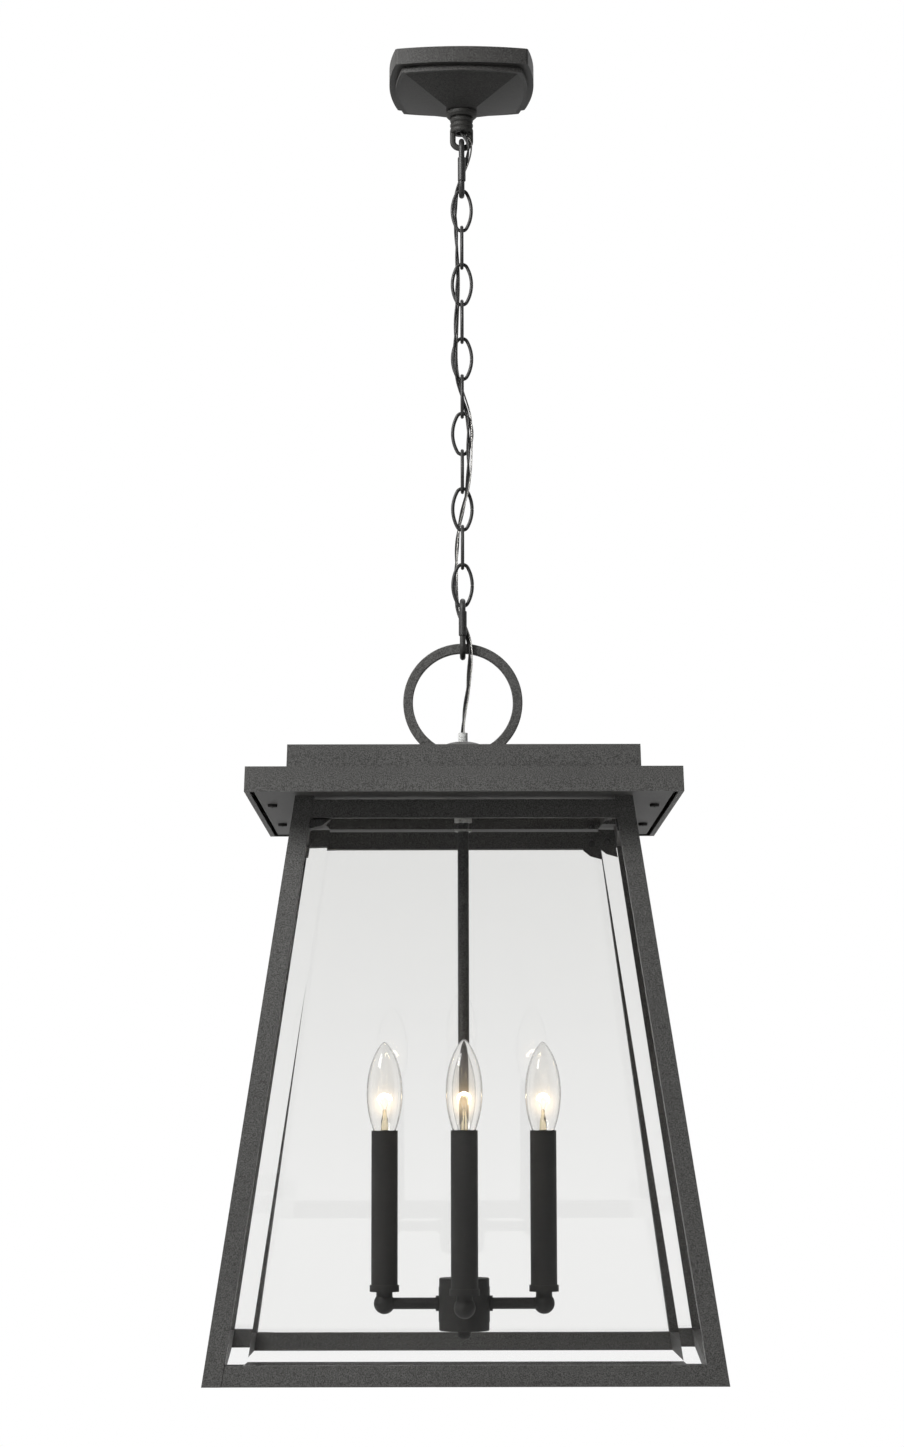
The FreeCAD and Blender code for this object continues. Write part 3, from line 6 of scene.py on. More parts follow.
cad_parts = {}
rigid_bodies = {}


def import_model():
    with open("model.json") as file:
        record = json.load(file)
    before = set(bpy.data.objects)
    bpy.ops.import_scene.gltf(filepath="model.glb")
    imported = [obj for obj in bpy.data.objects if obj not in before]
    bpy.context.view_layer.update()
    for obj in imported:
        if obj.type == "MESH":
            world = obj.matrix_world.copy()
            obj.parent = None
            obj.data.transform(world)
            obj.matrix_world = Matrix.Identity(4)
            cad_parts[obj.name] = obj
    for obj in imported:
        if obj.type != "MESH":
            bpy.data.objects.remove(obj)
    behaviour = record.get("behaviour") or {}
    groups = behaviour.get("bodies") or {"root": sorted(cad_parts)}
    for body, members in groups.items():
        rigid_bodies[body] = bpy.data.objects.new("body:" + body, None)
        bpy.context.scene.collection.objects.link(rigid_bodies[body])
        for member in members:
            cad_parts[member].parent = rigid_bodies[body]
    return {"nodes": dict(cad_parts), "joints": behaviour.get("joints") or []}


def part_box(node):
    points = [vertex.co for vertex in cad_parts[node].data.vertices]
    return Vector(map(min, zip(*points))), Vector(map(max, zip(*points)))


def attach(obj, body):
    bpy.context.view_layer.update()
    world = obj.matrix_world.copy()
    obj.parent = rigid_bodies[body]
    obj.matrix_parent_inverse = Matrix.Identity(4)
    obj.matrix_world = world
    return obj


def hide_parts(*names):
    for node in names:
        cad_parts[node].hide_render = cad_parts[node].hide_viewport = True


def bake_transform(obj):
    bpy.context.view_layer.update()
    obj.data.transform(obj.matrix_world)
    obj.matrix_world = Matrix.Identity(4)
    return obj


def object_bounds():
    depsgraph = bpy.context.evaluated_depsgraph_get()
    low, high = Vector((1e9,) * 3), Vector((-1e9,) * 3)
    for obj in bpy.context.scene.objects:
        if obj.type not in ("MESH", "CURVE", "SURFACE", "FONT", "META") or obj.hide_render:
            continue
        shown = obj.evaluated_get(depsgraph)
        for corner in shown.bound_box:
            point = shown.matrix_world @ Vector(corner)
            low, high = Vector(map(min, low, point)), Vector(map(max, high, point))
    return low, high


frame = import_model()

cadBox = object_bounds()
nodes = frame["nodes"]
scene = bpy.context.scene
mm = 0.001
print("frame loaded with", len(nodes), "nodes")


# camera

viewer = {"place": (-0.012, -2.4944, -0.9401), "lens": 72.651, "sensor": 36.0,
          "tiltUp": 8.085, "turnLeft": -0.0593, "lean": -0.1017}


def makeCamera(spec):
    bpy.ops.object.camera_add()
    camera = bpy.context.object
    camera.name = "viewer"
    camera.data.lens = spec["lens"]
    camera.data.sensor_width = spec["sensor"]
    turn = Matrix.Rotation(math.radians(spec["turnLeft"]), 4, "Z")
    tilt = Matrix.Rotation(math.radians(90 + spec["tiltUp"]), 4, "X")
    lean = Matrix.Rotation(math.radians(spec["lean"]), 4, "Z")
    camera.matrix_world = Matrix.Translation(spec["place"]) @ turn @ tilt @ lean
    scene.camera = camera


makeCamera(viewer)
print("camera placed")


def clearSelection():
    if bpy.context.object and bpy.context.object.mode != "OBJECT":
        bpy.ops.object.mode_set(mode="OBJECT")
    bpy.ops.object.select_all(action="DESELECT")


# materials: nodes are wired by a few short helpers

white = (1, 1, 1, 1)
noiseLow, noiseHigh = 0.3, 0.7  # nearly all of a noise's values lie between these


def newMaterial(name):
    material = bpy.data.materials.new(name)
    material.use_nodes = True
    return material, material.node_tree, material.node_tree.nodes["Principled BSDF"]


def addNode(tree, kind, **settings):
    node = tree.nodes.new("ShaderNode" + kind)
    for key, value in settings.items():
        if key in node.inputs:
            node.inputs[key].default_value = value
        else:
            setattr(node, key, value)
    return node


def objectNoise(tree, scale, detail):
    place = addNode(tree, "TexCoord")
    noise = addNode(tree, "TexNoise", Scale=scale, Detail=detail)
    tree.links.new(place.outputs["Object"], noise.inputs["Vector"])
    return noise.outputs["Fac"]


def spread(tree, source, low, high, fromLow=noiseLow, fromHigh=noiseHigh):
    span = addNode(tree, "MapRange")
    for place, value in enumerate((fromLow, fromHigh, low, high), start=1):
        span.inputs[place].default_value = value
    tree.links.new(source, span.inputs[0])
    return span.outputs[0]


def colourRamp(tree, source, stops):
    ramp = addNode(tree, "ValToRGB")
    for point, (place, colour) in zip(ramp.color_ramp.elements, stops):
        point.position = place
        point.color = (*colour, 1)
    tree.links.new(source, ramp.inputs["Fac"])
    return ramp.outputs["Color"]


def bumpFrom(tree, shader, height, strength, depth):
    bump = addNode(tree, "Bump", Strength=strength, Distance=depth)
    tree.links.new(height, bump.inputs["Height"])
    tree.links.new(bump.outputs["Normal"], shader.inputs["Normal"])


powderCoat = {"deep": (0.029, 0.0285, 0.027), "light": (0.090, 0.089, 0.086), "grain": 1150,
              "cloud": 7, "shade": (0.88, 1.1), "roughness": (0.5, 0.66), "gloss": 0.2,
              "bump": 0.5, "depth": 0.00022}
# painted shade: the canopy gets a darker copy of the powder coat, standing in for the shade it sits
# in
canopyShadedCoat = dict(powderCoat, deep=(0.014, 0.0135, 0.013), light=(0.050, 0.049, 0.047))
# a finer grain than the powder coat, and darker as painted shade: these parts sit inside the cage
# or under the roof and canopy
candleShadedCoat = {"deep": (0.013, 0.0127, 0.012), "light": (0.028, 0.0272, 0.025), "grain": 1600,
              "cloud": 11, "shade": (0.9, 1.08), "roughness": (0.52, 0.64), "gloss": 0.22,
              "bump": 0.25, "depth": 0.00012}
chainCoat = {"deep": (0.010, 0.010, 0.0095), "light": (0.024, 0.0235, 0.023), "grain": 900,
             "cloud": 35, "shade": (0.8, 1.15), "roughness": (0.4, 0.54), "gloss": 0.3,
             "bump": 0.16, "depth": 0.00014}
speckles = {"detail": 2.5, "cloudDetail": 3, "deepTo": 0.36, "lightFrom": 0.66}


def makeCoat(name, spec):
    material, tree, shader = newMaterial(name)
    grain = objectNoise(tree, spec["grain"], speckles["detail"])
    cloud = objectNoise(tree, spec["cloud"], speckles["cloudDetail"])
    speckle = colourRamp(tree, grain, [(speckles["deepTo"], spec["deep"]),
                                       (speckles["lightFrom"], spec["light"])])
    shade = addNode(tree, "VectorMath", operation="SCALE")
    tree.links.new(speckle, shade.inputs[0])
    tree.links.new(spread(tree, cloud, *spec["shade"]), shade.inputs["Scale"])
    tree.links.new(shade.outputs[0], shader.inputs["Base Color"])
    tree.links.new(spread(tree, grain, *spec["roughness"]), shader.inputs["Roughness"])
    shader.inputs["Specular IOR Level"].default_value = spec["gloss"]
    bumpFrom(tree, shader, grain, spec["bump"], spec["depth"])
    return material


zincPlate = {"dull": (0.42, 0.42, 0.40), "bright": (0.70, 0.70, 0.68), "grain": 420,
             "roughness": (0.26, 0.46), "bump": 0.2, "depth": 0.00008}
brassShell = {"dull": (0.52, 0.36, 0.14), "bright": (0.83, 0.64, 0.32), "grain": 240,
              "roughness": (0.2, 0.38), "bump": 0.9, "depth": 0.0004, "threadPitch": 0.0019}
tinnedWire = {"dull": (0.17, 0.165, 0.16), "bright": (0.44, 0.43, 0.41), "grain": 700,
              "roughness": (0.26, 0.4), "bump": 0.1, "depth": 0.00005}
metalDetail = 3


def makeMetal(name, spec):
    material, tree, shader = newMaterial(name)
    grain = objectNoise(tree, spec["grain"], metalDetail)
    tree.links.new(colourRamp(tree, grain, [(noiseLow, spec["dull"]), (noiseHigh, spec["bright"])]),
                   shader.inputs["Base Color"])
    tree.links.new(spread(tree, grain, *spec["roughness"]), shader.inputs["Roughness"])
    shader.inputs["Metallic"].default_value = 1.0
    height = grain
    if "threadPitch" in spec:  # at a scale of 1 the bands are pi / 10 apart
        place = addNode(tree, "TexCoord")
        thread = addNode(tree, "TexWave", bands_direction="Z")
        thread.inputs["Scale"].default_value = math.pi / 10 / spec["threadPitch"]
        tree.links.new(place.outputs["Object"], thread.inputs["Vector"])
        height = thread.outputs["Fac"]
    bumpFrom(tree, shader, height, spec["bump"], spec["depth"])
    return material


paneGlass = {"tint": (0.955, 0.955, 0.950), "paintedShadeTint": (0.90, 0.90, 0.893), "fade": (-1.0, -0.7),
             "passed": (0.58, 0.58, 0.58), "ior": 1.5, "smear": (0.0, 0.012), "ripple": 9,
             "bump": 0.03, "depth": 0.0003}
bulbGlass = {"tint": (0.97, 0.965, 0.955), "rim": (0.12, 0.115, 0.105), "rimStops": (0.52, 0.92),
             "ior": 1.45, "smear": (0.0, 0.01), "ripple": 60, "bump": 0.06, "depth": 0.0003,
             "glowColour": (1.0, 0.74, 0.43), "hazeFocus": 6.0}
stemGlass = {"tint": (0.97, 0.86, 0.62), "ior": 1.5, "smear": (0.02, 0.12), "ripple": 380,
             "bump": 0.35, "depth": 0.0005}
glassDetail = 2


def makeGlass(name, spec):
    material, tree, shader = newMaterial(name)
    ripple = objectNoise(tree, spec["ripple"], glassDetail)
    shader.inputs["Base Color"].default_value = (*spec["tint"], 1)
    shader.inputs["Transmission Weight"].default_value = 1.0
    shader.inputs["IOR"].default_value = spec["ior"]
    tree.links.new(spread(tree, ripple, *spec["smear"]), shader.inputs["Roughness"])
    bumpFrom(tree, shader, ripple, spec["bump"], spec["depth"])
    if "fade" in spec:  # painted shade: the tint darkens from low on the pane to high on it, standing in for dimmer reflections up there
        place = addNode(tree, "TexCoord")
        apart = addNode(tree, "SeparateXYZ")
        tree.links.new(place.outputs["Object"], apart.inputs[0])
        height = spread(tree, apart.outputs["Z"], 0.0, 1.0, *spec["fade"])
        tree.links.new(colourRamp(tree, height, [(0.0, spec["tint"]), (1.0, spec["paintedShadeTint"])]),
                       shader.inputs["Base Color"])
    if "rim" in spec:  # painted shade: darker where the wall is seen edge on, standing in for the dark outline of the glass
        edge = addNode(tree, "LayerWeight")
        tree.links.new(colourRamp(tree, edge.outputs["Facing"],
                                  list(zip(spec["rimStops"], (spec["tint"], spec["rim"])))),
                       shader.inputs["Base Color"])
    if "hazeFocus" in spec:  # painted glow: the glass itself gives off the filament's haze, which fades towards the outline
        glow = addNode(tree, "Attribute", attribute_name="glow")
        amount = addNode(tree, "Math", operation="MULTIPLY")
        edge = addNode(tree, "LayerWeight")
        middle = addNode(tree, "Math", operation="SUBTRACT")
        middle.inputs[0].default_value = 1.0
        tree.links.new(edge.outputs["Facing"], middle.inputs[1])
        haze = addNode(tree, "Math", operation="POWER")
        haze.inputs[1].default_value = spec["hazeFocus"]
        tree.links.new(middle.outputs[0], haze.inputs[0])
        tree.links.new(glow.outputs["Fac"], amount.inputs[0])
        tree.links.new(haze.outputs[0], amount.inputs[1])
        tree.links.new(amount.outputs[0], shader.inputs["Emission Strength"])
        shader.inputs["Emission Color"].default_value = (*spec["glowColour"], 1)
    # lamplight goes straight through the glass, dimmed by what is passed
    path = addNode(tree, "LightPath")
    clear = addNode(tree, "BsdfTransparent", Color=(*spec.get("passed", spec["tint"]), 1))
    mix = addNode(tree, "MixShader")
    tree.links.new(path.outputs["Is Shadow Ray"], mix.inputs[0])
    tree.links.new(shader.outputs[0], mix.inputs[1])
    tree.links.new(clear.outputs[0], mix.inputs[2])
    tree.links.new(mix.outputs[0], tree.nodes["Material Output"].inputs["Surface"])
    return material


cordJacket = {"deep": (0.008, 0.008, 0.008), "light": (0.020, 0.0195, 0.019), "grain": 500,
              "cloud": 60, "shade": (0.85, 1.1), "roughness": (0.38, 0.52), "gloss": 0.25,
              "bump": 0.12, "depth": 0.0001}
socketPlastic = {"deep": (0.028, 0.026, 0.024), "light": (0.055, 0.052, 0.048), "grain": 650,
                 "cloud": 45, "shade": (0.9, 1.1), "roughness": (0.34, 0.48), "gloss": 0.5,
                 "bump": 0.1, "depth": 0.0001}
bushingPlastic = {"dull": (0.55, 0.55, 0.53), "bright": (0.80, 0.81, 0.80), "clearness": 0.45,
                  "grain": 450, "detail": 2, "roughness": (0.22, 0.4), "bump": 0.3,
                  "depth": 0.0003}


def makeBushingPlastic(name, spec):
    material, tree, shader = newMaterial(name)
    grain = objectNoise(tree, spec["grain"], spec["detail"])
    tree.links.new(colourRamp(tree, grain, [(noiseLow, spec["dull"]), (noiseHigh, spec["bright"])]),
                   shader.inputs["Base Color"])
    shader.inputs["Transmission Weight"].default_value = spec["clearness"]
    tree.links.new(spread(tree, grain, *spec["roughness"]), shader.inputs["Roughness"])
    bumpFrom(tree, shader, grain, spec["bump"], spec["depth"])
    return material


filamentGlow = {"colour": (1.0, 0.86, 0.62), "strength": 26.0, "dimmest": 0.8, "grain": 800,
                "detail": 1, "metal": (0.3, 0.28, 0.25), "roughness": 0.4}


def makeFilament(name, spec):
    material, tree, shader = newMaterial(name)
    shader.inputs["Base Color"].default_value = (*spec["metal"], 1)
    shader.inputs["Roughness"].default_value = spec["roughness"]
    shader.inputs["Emission Color"].default_value = (*spec["colour"], 1)
    uneven = spread(tree, objectNoise(tree, spec["grain"], spec["detail"]),
                    spec["strength"] * spec["dimmest"], spec["strength"])
    tree.links.new(uneven, shader.inputs["Emission Strength"])
    return material


finish = {
    "powder": makeCoat("powderCoat", powderCoat),
    "canopy": makeCoat("canopyShadedCoat", canopyShadedCoat),
    "candle": makeCoat("candleShadedCoat", candleShadedCoat),
    "chain": makeCoat("chainCoat", chainCoat),
    "jacket": makeCoat("cordJacket", cordJacket),
    "socket": makeCoat("socketPlastic", socketPlastic),
    "zinc": makeMetal("zincPlate", zincPlate),
    "brass": makeMetal("brassShell", brassShell),
    "tinned": makeMetal("tinnedWire", tinnedWire),
    "pane": makeGlass("paneGlass", paneGlass),
    "bulb": makeGlass("bulbGlass", bulbGlass),
    "stem": makeGlass("stemGlass", stemGlass),
    "bushing": makeBushingPlastic("bushingPlastic", bushingPlastic),
    "filament": makeFilament("filamentGlow", filamentGlow),
}

bulbPlaces = ("front", "right", "rear", "left")
wornBy = {
    "canopy": ("canopy_shell",),
    "powder": ("hanging_ring", "ring_base", "roof_cap", "roof_brim", "roof_plate",
               "front_left_post", "front_right_post", "rear_left_post", "rear_right_post",
               "top_rails", "bottom_rails", "glass_clips", "crossbar", "centre_rod"),
    "candle": ("hub_caps", "hub_body", "hub_finial", "candle_arms", "candle_cups",
               "candle_sleeves", "collar_ring", "canopy_loop", "frame_screws"),
    "chain": ("upper_quick_link", "upper_link_sleeve", "lower_quick_link", "lower_link_sleeve",
              *[f"chain_link_{number:02d}" for number in range(1, 12)]),
    "zinc": ("threaded_nipple", "nipple_nuts", "mounting_strap", "roof_nipple", "lock_nuts"),
    "jacket": ("supply_cord",),
    "tinned": ("ground_wire",),
    "bushing": ("wire_gland",),
    "pane": ("front_glass", "right_glass", "rear_glass", "left_glass"),
    "bulb": tuple(f"bulb_{place}_glass" for place in bulbPlaces),
    "brass": tuple(f"bulb_{place}_base" for place in bulbPlaces),
    "socket": ("lamp_sockets",),
}
for key, names in wornBy.items():
    for name in names:
        for slot in nodes[name].material_slots:
            slot.material = finish[key]
print("finishes on", sum(len(names) for names in wornBy.values()), "nodes")


# supply cord and earth wire, woven through the chain, with one stretch for each swinging joint

leadRoute = [
    (-0.0012, 0.0006, -0.004), (-0.0013, 0.0008, -0.02), (-0.0014, 0.0007, -0.036),
    (-0.0013, -0.0002, -0.05), (0.001, -0.0034, -0.059), (0.0056, -0.0069, -0.0654),
    (0.0062, -0.0063, -0.075), (0.0032, -0.0032, -0.087), (-0.0017, 0.0009, -0.098),
    (-0.0052, 0.0042, -0.112), (-0.0056, 0.0061, -0.1277), (-0.0051, 0.0069, -0.14455),
    (-0.0045, 0.0067, -0.1614), (-0.0039, 0.0046, -0.17825), (-0.0039, -0.0003, -0.1951),
    (-0.0047, -0.0057, -0.21195), (-0.0054, -0.0078, -0.2288), (-0.0061, -0.0077, -0.24565),
    (-0.0064, -0.0067, -0.2625), (-0.0052, -0.0054, -0.27935), (-0.0002, -0.0037, -0.2962),
    (0.0045, -0.0036, -0.31305), (0.0053, -0.0047, -0.3299), (0.0052, -0.006, -0.34675),
    (0.0052, -0.0065, -0.3636), (0.0042, -0.0044, -0.38045), (0.0002, 0.0009, -0.3973),
    (-0.0036, 0.0063, -0.41415), (-0.0051, 0.0087, -0.431), (-0.0056, 0.0089, -0.44785),
    (-0.0059, 0.0081, -0.4647), (-0.0053, 0.0063, -0.48095), (-0.0018, 0.0024, -0.49395),
    (0.0028, -0.0024, -0.50595), (0.0056, -0.0057, -0.51795), (0.006, -0.0058, -0.53095),
    (0.005, -0.0038, -0.546), (0.0033, -0.001, -0.562), (0.001, 0.0009, -0.578),
    (-0.0004, 0.001, -0.592), (-0.0004, 0.001, -0.61)]
wireTurns = [  # degrees round the cord at which the wire lies, from +x towards +y
    20, 20, 20, 20, 20, 25, 40, 55, 70, 80, 85, 80, 75, 65, 60, 55, 55, 55, 60, 55, 40, 20, 0, -20,
    -40, -60, -80, -85, -85, -75, -70, -65, -60, -55, -50, -50, -55, -60, -70, -75, -70]

cord = {"half": 1.8 * mm, "core": 1.0 * mm, "sides": 28, "pitch": 0.058, "material": "jacket",
        "slot": "cord_black", "replaces": "supply_cord"}
wire = {"half": 0.75 * mm, "strand": 0.25 * mm, "sides": 36, "pitch": 0.011, "aside": 3.25 * mm,
        "material": "tinned", "slot": "wire_silver", "replaces": "ground_wire"}
stretch = {"bodies": ["canopy", "upper_quick_link",
                      *[f"chain_link_{number:02d}" for number in range(1, 12)],
                      "lower_quick_link", "lantern"],
           "below": 1.6 * mm, "reach": 6.5 * mm, "smoothBelow": 50}
guideSteps = 12


def besideRoute(route, turns, aside):
    return [(x + aside * math.cos(math.radians(turn)), y + aside * math.sin(math.radians(turn)), z)
            for (x, y, z), turn in zip(route, turns)]


def smoothLine(points):
    data = bpy.data.curves.new("guide", "CURVE")
    data.dimensions = "3D"
    data.resolution_u = guideSteps
    spline = data.splines.new("NURBS")
    spline.points.add(len(points) - 1)
    for spot, place in zip(spline.points, points):
        spot.co = (*place, 1)
    spline.order_u = 3
    spline.use_endpoint_u = True
    guide = bpy.data.objects.new("guide", data)
    scene.collection.objects.link(guide)
    mesh = bpy.data.meshes.new_from_object(guide)
    line = [vertex.co.copy() for vertex in mesh.vertices]
    bpy.data.objects.remove(guide)
    bpy.data.curves.remove(data)
    bpy.data.meshes.remove(mesh)
    return line


def twinSection(spec):  # two cores side by side, joined by a web
    apart = spec["half"] - spec["core"]
    section = []
    for step in range(spec["sides"]):
        angle = 2 * math.pi * step / spec["sides"]
        across = abs(math.cos(angle)) * apart
        radius = across + math.sqrt(spec["core"] ** 2 - (math.sin(angle) * apart) ** 2)
        section.append((radius * math.cos(angle), radius * math.sin(angle)))
    return section


def strandSection(spec):  # six strands round a seventh
    ring = spec["half"] - spec["strand"]
    sixth = math.pi / 3
    section = []
    for step in range(spec["sides"]):
        angle = 2 * math.pi * step / spec["sides"]
        off = (angle + sixth / 2) % sixth - sixth / 2
        reach = spec["strand"] ** 2 - (ring * math.sin(off)) ** 2
        radius = ring * math.cos(off) + math.sqrt(max(reach, 0))
        section.append((radius * math.cos(angle), radius * math.sin(angle)))
    return section


def sweepRings(line, section, pitch):
    rings = []
    travelled = 0.0
    side = Vector((1, 0, 0))
    for index, spot in enumerate(line):
        ahead = line[min(index + 1, len(line) - 1)] - line[max(index - 1, 0)]
        ahead.normalize()
        side = (side - ahead * side.dot(ahead)).normalized()
        other = ahead.cross(side)
        if index:
            travelled += (spot - line[index - 1]).length
        turn = 2 * math.pi * travelled / pitch
        cosine, sine = math.cos(turn), math.sin(turn)
        rings.append([spot + side * (x * cosine - y * sine) + other * (x * sine + y * cosine)
                      for x, y in section])
    return rings


def tubeMesh(name, rings):
    count = len(rings[0])
    faces = []
    for row in range(len(rings) - 1):
        for step in range(count):
            after = (step + 1) % count
            faces.append((row * count + step, row * count + after,
                          (row + 1) * count + after, (row + 1) * count + step))
    faces.append(tuple(reversed(range(count))))
    last = (len(rings) - 1) * count
    faces.append(tuple(range(last, last + count)))
    mesh = bpy.data.meshes.new(name)
    mesh.from_pydata([tuple(spot) for ring in rings for spot in ring], [], faces)
    mesh.update()
    piece = bpy.data.objects.new(name, mesh)
    scene.collection.objects.link(piece)
    return piece


def joinHeights():
    pivots = {(joint["parent"], joint["child"]): joint["pos_m"][2]
              for joint in frame["joints"] if joint["type"] == "hinge"}
    return [pivots[pair] for pair in zip(stretch["bodies"], stretch["bodies"][1:])]


def layLead(label, spec, points, section):
    line = smoothLine(points)
    rings = sweepRings(line, section, spec["pitch"])
    heights = joinHeights()
    cuts = [(a + b) / 2 for a, b in zip(heights, heights[1:])]
    ends = [0]
    for cut in cuts:
        ends.append(min(range(len(line)), key=lambda place: abs(line[place].z - cut)))
    ends.append(len(line) - 1)
    for number, (first, last, height) in enumerate(zip(ends, ends[1:], heights), start=1):
        piece = tubeMesh(f"{label}_{number:02d}", rings[first:last + 1])
        piece.data.materials.append(finish[spec["material"]])
        clearSelection()
        piece.select_set(True)
        bpy.context.view_layer.objects.active = piece
        bpy.ops.object.shade_smooth_by_angle(angle=math.radians(stretch["smoothBelow"]))
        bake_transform(piece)
        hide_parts(spec["replaces"])


layLead("cord", cord, leadRoute, twinSection(cord))
layLead("earth", wire, besideRoute(leadRoute, wireTurns, wire["aside"]), strandSection(wire))


# bulbs: each is shaped once on the z axis, with the sleeve's mouth at 0, then copied into place
# an outline gives radius and height in mm, from below upwards

envelope = {"sides": 48, "wall": 0.7 * mm, "outline": [
    (6.5, -9.4), (6.9, -8.2), (8.3, -4.6), (9.5, -0.6), (10.9, 3.6), (12.7, 9.5), (14.1, 16.0),
    (15.1, 23.5), (15.45, 31.5), (15.1, 39.5), (14.0, 47.5), (12.0, 55.5), (9.3, 62.5),
    (6.3, 68.2), (3.7, 71.8), (1.9, 73.7), (0.8, 74.45)]}
stem = {"sides": 24, "outline": [
    (4.6, -9.6), (3.9, -7.0), (3.3, -2.0), (3.15, 3.0), (3.0, 7.0), (2.3, 10.0), (1.6, 12.4),
    (1.35, 14.5), (1.5, 16.2), (1.25, 17.2), (0.6, 17.7)],
    "pinchFrom": 9.0, "pinch": (1.25, 0.55)}
support = {"sides": 8, "radius": 0.22, "line": [
    (0.75, 15.0), (1.0, 17.5), (1.9, 20.5), (3.3, 23.2), (4.3, 25.4)]}
coil = {"radius": 0.9, "wire": 0.3, "sides": 6, "turns": 16, "pitch": 1.0, "steps": 10,
        "bend": 165, "low": 25.2}
glowSpot = {"height": 23.0, "reach": 9.0, "peak": 0.2, "haloHeight": 30.0, "haloReach": 22.0,
            "haloPeak": 0.022}
bulbTurns = {"front": 25, "right": -35, "rear": 60, "left": 10}


def startRing(name, sides, radius, level):
    clearSelection()
    bpy.ops.mesh.primitive_circle_add(vertices=sides, radius=radius * mm,
                                      location=(0, 0, level * mm))
    piece = bpy.context.object
    piece.name = name
    bpy.ops.object.transform_apply(location=True, rotation=False, scale=False)
    bpy.ops.object.mode_set(mode="EDIT")
    bpy.ops.mesh.select_all(action="SELECT")
    return piece


def raiseRing(rise, grow, level):
    bpy.ops.mesh.extrude_region_move(TRANSFORM_OT_translate={"value": (0, 0, rise * mm)})
    bpy.ops.transform.resize(value=(grow, grow, 1), center_override=(0, 0, level * mm))


def turnedPiece(name, spec, closeLow):
    outline = spec["outline"]
    piece = startRing(name, spec["sides"], *outline[0])
    if closeLow:
        bpy.ops.mesh.edge_face_add()
    for (before, low), (radius, level) in zip(outline, outline[1:]):
        raiseRing(level - low, radius / before, level)
    bpy.ops.mesh.extrude_region_move()
    bpy.ops.mesh.merge(type="CENTER")
    bpy.ops.mesh.select_all(action="SELECT")
    bpy.ops.mesh.normals_make_consistent(inside=False)
    bpy.ops.object.mode_set(mode="OBJECT")
    return piece


def smoothPiece(piece, levels, wall=None):
    clearSelection()
    bpy.context.view_layer.objects.active = piece
    piece.select_set(True)
    if wall:
        shell = piece.modifiers.new("wall", "SOLIDIFY")
        shell.thickness = wall
        shell.offset = -1
        bpy.ops.object.modifier_apply(modifier="wall")
    if levels:
        soft = piece.modifiers.new("soft", "SUBSURF")
        soft.levels = soft.render_levels = levels
        bpy.ops.object.modifier_apply(modifier="soft")
    bpy.ops.object.shade_smooth()


# painted glow: each point of the envelope gets a share of glow, a core at the filament's height and
# a faint wide halo, which the glass gives off as light
def paintGlow(piece, spec):
    values = []
    for vertex in piece.data.vertices:
        level = vertex.co.z / mm
        core = math.exp(-((level - spec["height"]) / spec["reach"]) ** 2)
        halo = math.exp(-((level - spec["haloHeight"]) / spec["haloReach"]) ** 2)
        values.append(spec["peak"] * core + spec["haloPeak"] * halo)
    glow = piece.data.attributes.new("glow", "FLOAT", "POINT")
    glow.data.foreach_set("value", values)


def makeEnvelope():
    piece = turnedPiece("envelope", envelope, False)
    smoothPiece(piece, 1, envelope["wall"])
    paintGlow(piece, glowSpot)
    piece.data.materials.append(finish["bulb"])
    return piece


def makeStem():
    piece = turnedPiece("stem", stem, True)
    bpy.ops.object.mode_set(mode="EDIT")
    bpy.ops.mesh.select_mode(type="VERT")
    bpy.ops.mesh.select_all(action="DESELECT")
    bpy.ops.object.mode_set(mode="OBJECT")
    for vertex in piece.data.vertices:  # the pinch that holds the wires
        vertex.select = vertex.co.z > stem["pinchFrom"] * mm
    bpy.ops.object.mode_set(mode="EDIT")
    bpy.ops.transform.resize(value=(*stem["pinch"], 1), center_override=(0, 0, 0))
    bpy.ops.object.mode_set(mode="OBJECT")
    smoothPiece(piece, 1)
    piece.data.materials.append(finish["stem"])
    return piece


def makeSupports():
    line = support["line"]
    piece = startRing("supports", support["sides"], support["radius"], line[0][1])
    bpy.ops.transform.translate(value=(line[0][0] * mm, 0, 0))
    bpy.ops.mesh.edge_face_add()
    for (before, low), (across, level) in zip(line, line[1:]):
        bpy.ops.mesh.extrude_region_move(
            TRANSFORM_OT_translate={"value": ((across - before) * mm, 0, (level - low) * mm)})
    bpy.ops.mesh.select_all(action="SELECT")
    bpy.ops.mesh.duplicate()
    bpy.ops.transform.rotate(value=math.pi, orient_axis="Z", center_override=(0, 0, 0))
    bpy.ops.mesh.select_all(action="SELECT")
    bpy.ops.mesh.normals_make_consistent(inside=False)
    bpy.ops.object.mode_set(mode="OBJECT")
    smoothPiece(piece, 0)
    piece.data.materials.append(finish["zinc"])
    return piece


